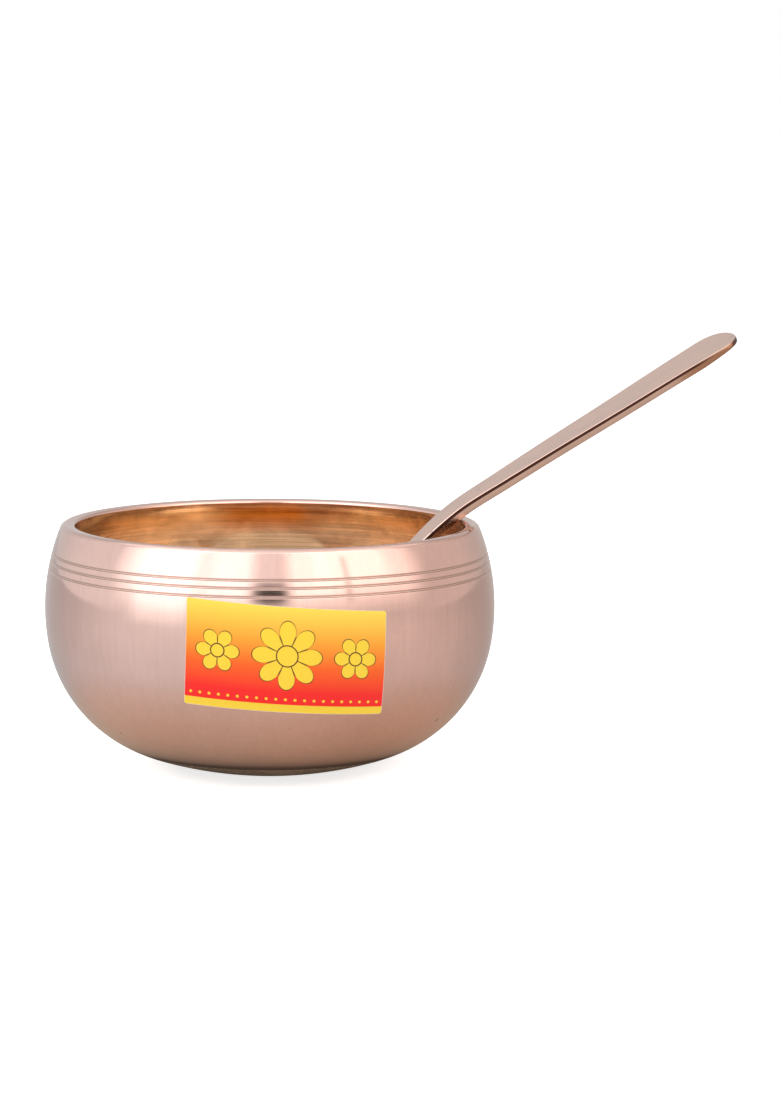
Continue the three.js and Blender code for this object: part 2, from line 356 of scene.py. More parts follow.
def mirrored_floor(tree):
    """The colour and the level of the floor at each place, as the metal sees it."""
    x, y = parts(tree, object_place(tree))[:2]
    radius = distance_of(tree, x, y)
    past = calc(tree, "MAXIMUM", calc(tree, "SUBTRACT", radius, DARK_RADIUS), SMALLEST_DISTANCE)
    level = STEEP_CLIMB[0] + SLOW_CLIMB[0]
    for gain, distance in (STEEP_CLIMB, SLOW_CLIMB):
        still_lost = calc(tree, "EXPONENT", calc(tree, "DIVIDE", past, -distance))
        level = calc(tree, "MULTIPLY_ADD", still_lost, -gain, level)
    azimuth = azimuth_of(tree, x, y)
    behind = remap(tree, calc(tree, "ABSOLUTE", azimuth), *FLOOR_DIM_BEHIND, 1.0, FLOOR_BEHIND_SHARE)
    to_right = calc(tree, "DIVIDE", x, calc(tree, "MAXIMUM", radius, SMALLEST_DISTANCE))
    beside = remap(tree, to_right, *FLOOR_RIGHT_RANGE, 1.0, FLOOR_RIGHT_SHARE)
    level = calc(tree, "MULTIPLY", level, calc(tree, "MULTIPLY", behind, beside))
    left, right, _, _, soft, gain = LEFT_PANEL
    panel_glow = remap(tree, radius, *PANEL_ON_FLOOR, 0.0, gain / 2)
    level = calc(tree, "MULTIPLY_ADD", between(tree, azimuth, left, right, soft), panel_glow, level)
    shade = blend(tree, remap(tree, radius, *WARM_RANGE), WARM_SHADE, WHITE)
    return blend(tree, 1.0, shade, side_tint(tree, to_right), "MULTIPLY"), level


def make_floor():
    mesh = bpy.data.meshes.new("paper_floor")
    corners = [(-1, -1), (1, -1), (1, 1), (-1, 1)]
    mesh.from_pydata([(x * FLOOR_HALF, y * FLOOR_HALF, 0.0) for x, y in corners], [], [(0, 1, 2, 3)])
    floor = add_object("paper_floor", mesh)
    material = bpy.data.materials.new("white_paper")
    material.use_nodes = True
    tree = material.node_tree
    tree.nodes.clear()
    matt = tree.nodes.new("ShaderNodeBsdfDiffuse")
    matt.inputs["Color"].default_value = PAPER_WHITE
    glow = tree.nodes.new("ShaderNodeEmission")
    seen, mirrored = seen_or_mirrored(tree)
    put(tree, glow.inputs["Strength"], calc(tree, "MULTIPLY", seen, FLOOR_GLOW))
    lit = tree.nodes.new("ShaderNodeAddShader")
    for socket, shader in zip(lit.inputs, (matt, glow)):
        tree.links.new(shader.outputs[0], socket)
    mirror_view = tree.nodes.new("ShaderNodeEmission")
    tint, level = mirrored_floor(tree)
    put(tree, mirror_view.inputs["Color"], tint)
    put(tree, mirror_view.inputs["Strength"], level)
    both = tree.nodes.new("ShaderNodeMixShader")
    for socket, value in zip(both.inputs, (mirrored, lit.outputs[0], mirror_view.outputs[0])):
        tree.links.new(value, socket)
    output = tree.nodes.new("ShaderNodeOutputMaterial")
    tree.links.new(both.outputs[0], output.inputs["Surface"])
    mesh.materials.append(material)
    print("floor", 2 * FLOOR_HALF, "m across")


make_floor()

# %% [markdown]
# The bowl's sizes repeat the solid's. The outside is three arcs that run into each other: shoulder, hip
# and under-side. An angle along them is the direction in which the wall faces, measured up from level.

# %% Bowl sizes
MM = 0.001
BELLY_RADIUS = 55.0
BELLY_HEIGHT = 39.45
RIM_HEIGHT = 59.89
SHOULDER_RADIUS = 51.6
HIP_RADIUS = 34.5
HIP_TOP = math.radians(9.8)
HIP_BOTTOM = math.radians(71.3)
FOOT_RADIUS = 16.0
# how far inside the foot's radius its edge begins to round over, and by how much it has risen there
FOOT_EDGE = ((0.5, 0.0), (0.1, 0.02))
FOOT_EDGE_TURN = 0.002
LIP_WIDTH = 3.8
LIP_OUTER_ROUND = 1.6
LIP_INNER_ROUND = 0.8
LIP_SLOPE = math.radians(6)
WALL_THICKNESS = 2.2
FLOOR_THICKNESS = 2.5
# over this angle below the lip, the lip's width thins to the wall's thickness, and from this share of the
# hip's lowest angle on, the wall thickens to the floor's
LIP_FADE = math.radians(14)
FLOOR_THICKENS = 0.8
GROOVE_HEIGHTS = (49.22, 51.23, 53.03)
GROOVE_WIDTH = 0.6
GROOVE_DEPTH = 0.3


def point_at(centre, radius, angle):
    return centre[0] + radius * math.cos(angle), centre[1] + radius * math.sin(angle)


def ease(value, low, high):
    share = min(max((value - low) / (high - low), 0.0), 1.0)
    return share * share * (3 - 2 * share)


def mix(first, second, share):
    return first + (second - first) * share


SHOULDER_CENTRE = (BELLY_RADIUS - SHOULDER_RADIUS, BELLY_HEIGHT)
HIP_CENTRE = point_at(SHOULDER_CENTRE, SHOULDER_RADIUS - HIP_RADIUS, -HIP_TOP)
UNDER_END = point_at(HIP_CENTRE, HIP_RADIUS, -HIP_BOTTOM)
TO_FOOT = (FOOT_RADIUS - UNDER_END[0], -UNDER_END[1])
UNDER_RADIUS = -(TO_FOOT[0] ** 2 + TO_FOOT[1] ** 2) / (
    2 * (TO_FOOT[0] * math.cos(HIP_BOTTOM) - TO_FOOT[1] * math.sin(HIP_BOTTOM))
)
UNDER_CENTRE = point_at(UNDER_END, -UNDER_RADIUS, -HIP_BOTTOM)
FOOT_ANGLE = math.acos((FOOT_RADIUS - UNDER_CENTRE[0]) / UNDER_RADIUS)
LIP_ANGLE = math.asin((RIM_HEIGHT - BELLY_HEIGHT - LIP_OUTER_ROUND) / (SHOULDER_RADIUS - LIP_OUTER_ROUND))
LIP_CREST = math.pi / 2 + LIP_SLOPE
OUTER_ROUND = point_at(SHOULDER_CENTRE, SHOULDER_RADIUS - LIP_OUTER_ROUND, LIP_ANGLE)
LIP_INSIDE = OUTER_ROUND[0] + LIP_OUTER_ROUND - LIP_WIDTH
FLAT_START = point_at(OUTER_ROUND, LIP_OUTER_ROUND - LIP_INNER_ROUND, LIP_CREST)
FLAT_WIDTH = (FLAT_START[0] - LIP_INSIDE - LIP_INNER_ROUND) / math.cos(LIP_SLOPE)
INNER_ROUND = point_at(FLAT_START, FLAT_WIDTH, math.pi + LIP_SLOPE)
AXIS_ANGLE = -math.pi / 2


def wall_point(angle, depth=0.0):
    if angle > -HIP_TOP:
        return point_at(SHOULDER_CENTRE, SHOULDER_RADIUS - depth, angle)
    if angle > -HIP_BOTTOM:
        return point_at(HIP_CENTRE, HIP_RADIUS - depth, angle)
    return point_at(UNDER_CENTRE, UNDER_RADIUS - depth, angle)


def thickness_at(angle):
    wall = mix(LIP_WIDTH, WALL_THICKNESS, ease(LIP_ANGLE - angle, 0, LIP_FADE))
    middle = FLOOR_THICKNESS + UNDER_RADIUS - UNDER_CENTRE[1]
    return mix(wall, middle, ease(-angle, HIP_BOTTOM * FLOOR_THICKENS, -AXIS_ANGLE))


print("lip faces", round(math.degrees(LIP_ANGLE), 1), "degrees up, under arc", round(UNDER_RADIUS, 1), "mm")

# %% [markdown]
# A turned bowl is one profile carried round the axis, so the profile is the thing to get right. It could
# be drawn as a few points and smoothed, but a smoothed curve bulges near the grooves. Here it follows the
# arcs in steps of under a millimetre, and each groove is a round-bottomed dip cut into the shoulder.

# %% Bowl profile
PROFILE_STEP = 0.75
LIP_OUTER_STEPS = 12
LIP_INNER_STEPS = 10
LIP_FLAT_SHARES = (0.33, 0.67)
GROOVE_STEPS = 8
# in half widths from the groove's middle: its slope, how far it is followed finely, and the plain points
# beside it, which keep its slope from bending the shading of the wall around it
GROOVE_SLOPE = (0.1, 1.25)
GROOVE_REACH = 1.3
BESIDE_GROOVE = (1.4, 1.7, 2.2)
# the last point of the floor before the one on the axis lies at least this far out
CLEAR_OF_AXIS = 0.4


def steps(start, end, count):
    return [mix(start, end, i / count) for i in range(count + 1)]


def along_arc(start, end, radius):
    return steps(start, end, max(2, round(abs(end - start) * radius / PROFILE_STEP)))


def groove_dip(height):
    """A groove as (angle, depth) pairs: rounded shoulders, a rounded bottom and a little plain wall."""
    middle = math.asin((height - BELLY_HEIGHT) / SHOULDER_RADIUS)
    half = GROOVE_WIDTH / 2 / SHOULDER_RADIUS
    places = [-s for s in reversed(BESIDE_GROOVE)]
    places += steps(-GROOVE_REACH, GROOVE_REACH, 2 * GROOVE_STEPS) + list(BESIDE_GROOVE)
    return [(middle + half * s, GROOVE_DEPTH * (1 - ease(abs(s), *GROOVE_SLOPE))) for s in places]


def outside_profile():
    points = [(0.0, 0.0), (FOOT_RADIUS / 2, 0.0)]
    points += [(FOOT_RADIUS - inwards, height) for inwards, height in FOOT_EDGE]
    points += [wall_point(a) for a in along_arc(FOOT_EDGE_TURN - FOOT_ANGLE, -HIP_BOTTOM, UNDER_RADIUS)]
    points += [wall_point(a) for a in along_arc(-HIP_BOTTOM, -HIP_TOP, HIP_RADIUS)[1:]]
    at = -HIP_TOP
    for height in GROOVE_HEIGHTS:
        dip = groove_dip(height)
        points += [wall_point(a) for a in along_arc(at, dip[0][0], SHOULDER_RADIUS)[1:-1]]
        points += [wall_point(a, depth) for a, depth in dip]
        at = dip[-1][0]
    points += [wall_point(a) for a in along_arc(at, LIP_ANGLE, SHOULDER_RADIUS)[1:-1]]
    return points


def lip_profile():
    outer = [point_at(OUTER_ROUND, LIP_OUTER_ROUND, a) for a in steps(LIP_ANGLE, LIP_CREST, LIP_OUTER_STEPS)]
    inner = [point_at(INNER_ROUND, LIP_INNER_ROUND, a) for a in steps(LIP_CREST, math.pi, LIP_INNER_STEPS)]
    (x0, z0), (x1, z1) = outer[-1], inner[0]
    flat = [(mix(x0, x1, share), mix(z0, z1, share)) for share in LIP_FLAT_SHARES]
    return outer + flat + inner


def inside_profile():
    angles = along_arc(LIP_ANGLE, -HIP_TOP, SHOULDER_RADIUS)[1:]
    angles += along_arc(-HIP_TOP, -HIP_BOTTOM, HIP_RADIUS)[1:]
    angles += along_arc(-HIP_BOTTOM, AXIS_ANGLE, UNDER_RADIUS)[1:]
    points = [wall_point(a, thickness_at(a)) for a in angles]
    points = [p for p in points if p[0] > CLEAR_OF_AXIS]
    return points + [(0.0, points[-1][1])]


PROFILE = outside_profile() + lip_profile() + inside_profile()
print("profile points", len(PROFILE))

# %% [markdown]
# Geometry Nodes do the lathe's work. The profile is swept round a circle with Curve to Mesh, which is a
# revolve, because the circle is the tool's path round the axis. The two ends of the profile lie on the
# axis, so their rings shrink to a point and Merge by Distance closes them. A Screw modifier would do the
# same, but the node tree names its inputs and can be opened and changed.

# %% Lathe node tree
TOOL_CIRCLE = 50.0
BOWL_SIDES = 256
MERGE_DISTANCE = 0.002


def add_input(tree, name, kind, value=None):
    socket = tree.interface.new_socket(name, in_out="INPUT", socket_type=kind)
    if value is not None:
        socket.default_value = value
    return socket.identifier


def lead_geometry(tree, geometry, *nodes):
    """Leads the geometry through the nodes, one after the other."""
    for node in nodes:
        tree.links.new(geometry, node.inputs["Geometry"])
        geometry = node.outputs["Geometry"] if len(node.outputs) else None


def make_lathe_tree(material):
    tree = bpy.data.node_groups.new("turn_on_lathe", "GeometryNodeTree")
    tree.interface.new_socket("Geometry", in_out="INPUT", socket_type="NodeSocketGeometry")
    ids = {
        "Tool Circle": add_input(tree, "Tool Circle", "NodeSocketFloat", TOOL_CIRCLE * MM),
        "Sides": add_input(tree, "Sides", "NodeSocketInt", BOWL_SIDES),
        "Finish": add_input(tree, "Finish", "NodeSocketMaterial", material),
    }
    tree.interface.new_socket("Geometry", in_out="OUTPUT", socket_type="NodeSocketGeometry")
    inlet = tree.nodes.new("NodeGroupInput")
    outlet = tree.nodes.new("NodeGroupOutput")
    to_curve = tree.nodes.new("GeometryNodeMeshToCurve")
    circle = tree.nodes.new("GeometryNodeCurvePrimitiveCircle")
    sweep = tree.nodes.new("GeometryNodeCurveToMesh")
    merge = tree.nodes.new("GeometryNodeMergeByDistance")
    smooth = tree.nodes.new("GeometryNodeSetShadeSmooth")
    realize = tree.nodes.new("GeometryNodeRealizeInstances")
    finish = tree.nodes.new("GeometryNodeSetMaterial")
    merge.inputs["Distance"].default_value = MERGE_DISTANCE * MM
    link = tree.links.new
    link(inlet.outputs["Geometry"], to_curve.inputs["Mesh"])
    link(inlet.outputs["Tool Circle"], circle.inputs["Radius"])
    link(inlet.outputs["Sides"], circle.inputs["Resolution"])
    link(circle.outputs["Curve"], sweep.inputs["Curve"])
    link(to_curve.outputs["Curve"], sweep.inputs["Profile Curve"])
    link(inlet.outputs["Finish"], finish.inputs["Material"])
    lead_geometry(tree, sweep.outputs["Mesh"], merge, smooth, realize, finish, outlet)
    return tree, ids


print("the lathe has", BOWL_SIDES, "sides and merges points within", MERGE_DISTANCE, "mm")

# %% [markdown]
# What a node tree makes is there only as long as its modifier. The export needs plain meshes, so the result
# goes to an object of its own, and the worker that carried the tree is thrown away. Then all faces are turned
# outwards and open edges are counted, because a solid bowl can have none.

# %% Turn the bowl


def plain_mesh(worker, name):
    """Turn an object's modifiers into a plain mesh on a new object, and throw the worker away."""
    bpy.context.view_layer.update()
    graph = bpy.context.evaluated_depsgraph_get()
    mesh = bpy.data.meshes.new_from_object(
        worker.evaluated_get(graph), preserve_all_data_layers=True, depsgraph=graph)
    mesh.name = name
    old = worker.data
    bpy.data.objects.remove(worker)
    bpy.data.meshes.remove(old)
    return add_object(name, mesh)


def face_outwards(mesh):
    """Turns all faces outwards and gives the number of open edges, which has to be none."""
    work = bmesh.new()
    work.from_mesh(mesh)
    bmesh.ops.recalc_face_normals(work, faces=work.faces)
    if work.calc_volume(signed=True) < 0:
        bmesh.ops.reverse_faces(work, faces=work.faces)
    open_edges = sum(1 for edge in work.edges if len(edge.link_faces) != 2)
    work.to_mesh(mesh)
    work.free()
    return open_edges


def turn_profile(name, profile, material):
    """The profile is laid out from the tool's circle: x outwards from it, y down, which comes out as up."""
    mesh = bpy.data.meshes.new(name + "_profile")
    points = [((r - TOOL_CIRCLE) * MM, -z * MM, 0.0) for r, z in profile]
    mesh.from_pydata(points, [(i, i + 1) for i in range(len(points) - 1)], [])
    worker = add_object(name + "_profile", mesh)
    tree, ids = make_lathe_tree(material)
    modifier = worker.modifiers.new("lathe", "NODES")
    modifier.node_group = tree
    modifier[ids["Tool Circle"]] = TOOL_CIRCLE * MM
    modifier[ids["Sides"]] = BOWL_SIDES
    modifier[ids["Finish"]] = material
    piece = plain_mesh(worker, name)
    open_edges = face_outwards(piece.data)
    heights = [v.co.z / MM for v in piece.data.vertices]
    print(name, len(piece.data.polygons), "faces,", open_edges, "open edges, from",
          round(min(heights), 2), "to", round(max(heights), 2), "mm high")
    return piece


bowl_metal = bpy.data.materials.new("turned_bell_metal")
bowl_piece = turn_profile("turned_bowl", PROFILE, bowl_metal)

# %% [markdown]
# The outside of the bowl is buffed to a pinkish shine, while the inside was only brushed and has kept a
# warmer, more golden tone. Grime settles in the grooves. Both are facts about places on the profile, so each
# is worked out from the distance to the wall's arcs and stored on the mesh, where the finish can read it.

# %% Where the bowl is inside, and where it is grooved
# between which shares of the wall's thickness the inside begins, and near the bottom, of the floor's
INSIDE_OF_WALL = (0.35, 0.9)
INSIDE_OF_FLOOR = (0.3, 0.8)
FLOOR_ZONE = 2.0 * FLOOR_THICKNESS
# the top of the lip is buffed like the outside: between these distances below it, the inside's look ends
BUFFED_LIP = (1.2, 0.6)
# a groove's look begins at this depth, and is looked for this far from the grooves' middles
GROOVE_STARTS = 0.02
GROOVE_ZONE = 2 * GROOVE_WIDTH
DEEPEST_GROOVE = 1.5 * GROOVE_DEPTH


def depth_in_wall(r, z):
    """How far a place lies in from the outside of the wall, in millimetres."""
    for centre, radius, lowest in (
        (SHOULDER_CENTRE, SHOULDER_RADIUS, -HIP_TOP), (HIP_CENTRE, HIP_RADIUS, -HIP_BOTTOM),
    ):
        if math.atan2(z - centre[1], r - centre[0]) > lowest:
            return radius - math.hypot(r - centre[0], z - centre[1])
    return UNDER_RADIUS - math.hypot(r - UNDER_CENTRE[0], z - UNDER_CENTRE[1])


def inside_share(z, depth):
    """How much a place has the look of the inside, from 0 to 1."""
    if z > FLOOR_ZONE:
        share = ease(depth, *(part * WALL_THICKNESS for part in INSIDE_OF_WALL))
    else:
        share = ease(z, *(part * FLOOR_THICKNESS for part in INSIDE_OF_FLOOR))
    return share * (1 - ease(z, *(RIM_HEIGHT - below for below in BUFFED_LIP)))


def write_place_attributes(piece):
    mesh = piece.data
    inside = mesh.attributes.new("inside", "FLOAT", "POINT")
    groove = mesh.attributes.new("groove", "FLOAT", "POINT")
    lowest, highest = GROOVE_HEIGHTS[0] - GROOVE_ZONE, GROOVE_HEIGHTS[-1] + GROOVE_ZONE
    for vertex in mesh.vertices:
        r, z = math.hypot(vertex.co.x, vertex.co.y) / MM, vertex.co.z / MM
        depth = depth_in_wall(r, z)
        inside.data[vertex.index].value = inside_share(z, depth)
        if lowest < z < highest and depth < DEEPEST_GROOVE:
            groove.data[vertex.index].value = ease(depth, GROOVE_STARTS, GROOVE_DEPTH)
    print("inside and groove written for", len(mesh.vertices), "points")


write_place_attributes(bowl_piece)

# %% [markdown]
# Bowl and spoon are the same metal with the same handling: fine lines from the abrasive, soft smudges and a
# few casting pits. One node group makes these three masks for both. It only gives values between 0 and 1,
# so that each metal decides for itself what they do to its colour, shine and surface. The lines come from
# noise that is drawn out along the way the abrasive ran, in four dimensions, so they can close on a circle.

# %% Wear masks
# the detail and the roughness of each noise, and between which of its values the mask rises from 0 to 1
LINE_NOISE = (3.0, 0.6)
SMUDGE_NOISE = (4.0, 0.62)
LINE_CONTRAST = (0.28, 0.72)
SMUDGE_CONTRAST = (0.35, 0.68)
USUAL_SMUDGE_SIZE = 12.0
USUAL_PIT_SIZE = 3.0
# one cell in ten has a pit in its middle, and it ends between these shares of the cell's size
PIT_CHOICE = (0.90, 0.92)
PIT_EDGE = (0.05, 0.15)


def make_wear_group():
    tree = bpy.data.node_groups.new("metal_wear", "ShaderNodeTree")
    for name, kind, value in (
        ("Place", "NodeSocketVector", None), ("Line Place", "NodeSocketVector", None),
        ("Line Drift", "NodeSocketFloat", 0.0), ("Smudge Size", "NodeSocketFloat", USUAL_SMUDGE_SIZE),
        ("Pit Size", "NodeSocketFloat", USUAL_PIT_SIZE),
    ):
        add_input(tree, name, kind, value)
    for name in ("Lines", "Smudge", "Pits"):
        tree.interface.new_socket(name, in_out="OUTPUT", socket_type="NodeSocketFloat")
    inlet = tree.nodes.new("NodeGroupInput")
    outlet = tree.nodes.new("NodeGroupOutput")
    lines = noise(tree, inlet.outputs["Line Place"], 1.0, *LINE_NOISE, inlet.outputs["Line Drift"])
    put(tree, outlet.inputs["Lines"], remap(tree, lines, *LINE_CONTRAST))
    smudge_scale = calc(tree, "DIVIDE", 1.0, inlet.outputs["Smudge Size"])
    smudge = noise(tree, inlet.outputs["Place"], smudge_scale, *SMUDGE_NOISE)
    put(tree, outlet.inputs["Smudge"], remap(tree, smudge, *SMUDGE_CONTRAST))
    pit_scale = calc(tree, "DIVIDE", 1.0, inlet.outputs["Pit Size"])
    cells = tree.nodes.new("ShaderNodeTexVoronoi")
    put(tree, cells.inputs["Vector"], inlet.outputs["Place"])
    put(tree, cells.inputs["Scale"], pit_scale)
    chosen = remap(tree, parts(tree, cells.outputs["Color"])[0], *PIT_CHOICE)
    middle = remap(tree, cells.outputs["Distance"], *PIT_EDGE, 1.0, 0.0)
    put(tree, outlet.inputs["Pits"], calc(tree, "MULTIPLY", chosen, middle))
    return tree


wear_group = make_wear_group()


def wear_masks(tree, place, line_place, drift, smudge_size, pit_size):
    node = tree.nodes.new("ShaderNodeGroup")
    node.node_tree = wear_group
    for name, value in (
        ("Place", place), ("Line Place", line_place), ("Line Drift", drift),
        ("Smudge Size", smudge_size), ("Pit Size", pit_size),
    ):
        put(tree, node.inputs[name], value)
    return node.outputs["Lines"], node.outputs["Smudge"], node.outputs["Pits"]


print("wear group inputs", [item.name for item in wear_group.interface.items_tree if item.in_out == "INPUT"])

# %% [markdown]
# The inside of the bowl was only brushed. It is deep orange below the lip, with tarnished patches at the back
# and a patch of painted shade under the handle, where its shadow falls. The floor is painted pale, a painted
# pool of light; the wall below the orange is painted paler, partly a painted reflection; and pale arches on
# the back wall are painted highlights. All this could be painted on an image by hand. Here each is a mask, a
# formula of the place, so each can be changed alone.

# %% Look of the inside
INSIDE_TOP_COLOUR = (0.76, 0.48, 0.25, 1.0)
# the paler wall below the deep orange: partly the metal's own colour, partly a painted reflection of the
# light
INSIDE_DEEP_COLOUR = (0.80, 0.60, 0.42, 1.0)
# painted light: the near-white floor colour stands in for a pool of light on the bowl's floor
PAINTED_LIGHT_FLOOR_COLOUR = (1.0, 0.86, 0.72, 1.0)
ORANGE_TARNISH = (0.66, 0.24, 0.040, 1.0)
BROWN_TARNISH = (0.44, 0.22, 0.10, 1.0)
# painted shade: the handle's shadow on the inner wall, as a dark colour
HANDLE_SHADE_COLOUR = (0.38, 0.15, 0.08, 1.0)
# painted highlight: the near-white colour of the pale arches on the back wall, which stand in for reflections
# of the light
PAINTED_HIGHLIGHT_COLOUR = (1.0, 0.72, 0.45, 1.0)
# how far the brushed inside is from a mirror: the share of plain, scattered light on wall and floor
WALL_SCATTER = 0.20
FLOOR_SCATTER = 0.85
PAINTED_HIGHLIGHT_SCATTER = 0.95
# the floor is painted pale, a painted pool of light, within the first distance from the axis and not at all
# past the second
PAINTED_LIGHT_FLOOR = (19.0, 25.0)
# the heights in millimetres between which the wall turns to the deep orange below the lip; below them the
# wall is painted paler, partly a painted reflection
DEEP_ORANGE = (50.5, 56.5)
# the patches below the lip, two tarnished ones at the back and one of painted shade under the handle, where
# its
# shadow falls: x from and to, y from and to, softness (all in millimetres) and colour
TARNISH_AND_SHADE_PATCHES = (
    (-13.0, 12.0, 20.0, 60.0, 6.0, ORANGE_TARNISH),
    (9.0, 22.0, 20.0, 60.0, 3.0, BROWN_TARNISH),
    (39.0, 60.0, -6.0, 22.0, 3.5, HANDLE_SHADE_COLOUR),
)
# pale arches painted on the back wall, painted highlights for reflections of the light: middle and top in
# millimetres, reach to each side and share
PAINTED_HIGHLIGHTS = ((-0.5, 51.0, 16.0, 1.0), (-22.5, 50.3, 5.0, 0.6), (25.0, 50.0, 6.5, 0.4))
# how far below its top a painted highlight is as wide as its reach, and the power that rounds its arch
PAINTED_HIGHLIGHT_DROP = 5.0
PAINTED_HIGHLIGHT_ROUNDING = 4.0
# the softness of its top edge, the heights between which it begins, and how far back it begins
PAINTED_HIGHLIGHT_EDGE = (-1.8, 1.2)
PAINTED_HIGHLIGHT_FOOT = (38.0, 44.0)
PAINTED_HIGHLIGHT_BACK = (10.0, 30.0)


def painted_highlight_mask(tree, x, y, z):
    """The painted highlights on the back wall, each an arch that fades out downwards."""
    mask = 0.0
    for middle, top, reach, share in PAINTED_HIGHLIGHTS:
        aside = calc(tree, "ABSOLUTE", calc(tree, "DIVIDE", calc(tree, "SUBTRACT", x, middle), reach))
        arch = calc(tree, "MULTIPLY_ADD", calc(tree, "POWER", aside, PAINTED_HIGHLIGHT_ROUNDING), -PAINTED_HIGHLIGHT_DROP, top)
        below = remap(tree, calc(tree, "SUBTRACT", z, arch), *PAINTED_HIGHLIGHT_EDGE, share, 0.0)
        mask = calc(tree, "MAXIMUM", mask, below)
    on_back_wall = calc(tree, "MULTIPLY", remap(tree, z, *PAINTED_HIGHLIGHT_FOOT), remap(tree, y, *PAINTED_HIGHLIGHT_BACK))
    return calc(tree, "MULTIPLY", mask, on_back_wall)


def inside_look(tree, x, y, z, r):
    """The colour of the inside, and how much of its light is plain and scattered."""
    near_lip = remap(tree, z, *DEEP_ORANGE)
    pale = remap(tree, r, *PAINTED_LIGHT_FLOOR, 1.0, 0.0)
    # below the band near the lip, the wall is painted paler, partly a painted reflection
    colour = blend(tree, near_lip, INSIDE_DEEP_COLOUR, INSIDE_TOP_COLOUR)
    # two tarnished patches at the back, and one patch of painted shade where the handle's shadow falls
    for left, right, front, back, soft, tarnish_and_shade in TARNISH_AND_SHADE_PATCHES:
        patch = calc(tree, "MULTIPLY", between(tree, x, left, right, soft),
                     between(tree, y, front, back, soft))
        colour = blend(tree, calc(tree, "MULTIPLY", patch, near_lip), colour, tarnish_and_shade)
    # painted light: the floor is painted pale as a pool of light
    colour = blend(tree, pale, colour, PAINTED_LIGHT_FLOOR_COLOUR)
    # painted highlights: pale arches on the back wall that stand in for reflections of the light
    painted_highlight = painted_highlight_mask(tree, x, y, z)
    colour = blend(tree, painted_highlight, colour, PAINTED_HIGHLIGHT_COLOUR)
    wall_scatter = remap(tree, near_lip, 0.0, 1.0, WALL_SCATTER, 0.0)
    scatter = remap(tree, pale, 0.0, 1.0, wall_scatter, FLOOR_SCATTER)
    return colour, remap(tree, painted_highlight, 0.0, 1.0, scatter, PAINTED_HIGHLIGHT_SCATTER)


print("inside has", len(TARNISH_AND_SHADE_PATCHES), "tarnished patches and", len(PAINTED_HIGHLIGHTS), "rubbed places")

# %% [markdown]
# Bell metal is a high-tin bronze, paler and pinker than brass. Outside, the bowl is nearly a mirror, softened
# by fine turning lines that run round it, and its grooves are a dull grey-brown. The outside, the inside and
# the grooves could be three materials with a hard line between them. One material that follows the values
# stored on the mesh blends them softly instead, as the wear on the real bowl does.

# %% Turned bell metal
OUTSIDE_COLOUR = (0.64, 0.44, 0.39, 1.0)
GRIME_COLOUR = (0.13, 0.10, 0.085, 1.0)
GROOVE_COLOUR = (0.57, 0.47, 0.42, 1.0)
OUTSIDE_ROUGHNESS = 0.10
INSIDE_ROUGHNESS = 0.20
# how fine the turning lines are round the bowl and across it, and the sizes of smudges and pits
LINES_ROUND = 1.6
LINES_ACROSS = 2.4
SMUDGE_SIZE = 14.0
PIT_SIZE = 5.0
# the upright streaks of the buffing: how fine they are sideways and upwards, and their detail
STREAKS_ACROSS = 0.8
STREAKS_UP = 0.05
STREAK_DETAIL = 3.0
# how far lines, smudges and streaks swing the tone of the outside and of the inside
LINE_TONE = (0.02, 0.45)
SMUDGE_TONE = (0.05, 0.45)
STREAK_TONE = (0.12, 0.0)
GROOVE_SHARE = 0.85
PIT_SHARE = 0.6
# what smudges at their least and most, and grooves and pits, add to the roughness
SMUDGE_ROUGHNESS = (-0.02, 0.03)
DULL_ROUGHNESS = 0.25
# how high the lines stand outside and inside, how deep pits are, and the bump's height in mm and strength
LINE_RELIEF = (0.05, 0.4)
PIT_RELIEF = 0.6
BOWL_BUMP = (0.02, 0.5)
SMALLEST_RADIUS = 0.5


def surface_of(material):
    """Empties a material and gives it one Principled surface: hands back its tree and its shader."""
    material.use_nodes = True
    tree = material.node_tree
    tree.nodes.clear()
    shader = tree.nodes.new("ShaderNodeBsdfPrincipled")
    output = tree.nodes.new("ShaderNodeOutputMaterial")
    tree.links.new(shader.outputs[0], output.inputs["Surface"])
    return tree, shader


def add_bump(tree, shader, height, distance_mm, strength):
    bump = tree.nodes.new("ShaderNodeBump")
    bump.inputs["Strength"].default_value = strength
    bump.inputs["Distance"].default_value = distance_mm * MM
    put(tree, bump.inputs["Height"], height)
    tree.links.new(bump.outputs[0], shader.inputs["Normal"])


def stretched(tree, *values):
    """A place for a noise, from three (value, fineness) pairs."""
    return vector(tree, *(calc(tree, "MULTIPLY", value, fineness) for value, fineness in values))


def toned(tree, colour, tone):
    """The colour made lighter or darker by a plain factor."""
    return blend(tree, 1.0, colour, vector(tree, tone, tone, tone), "MULTIPLY")


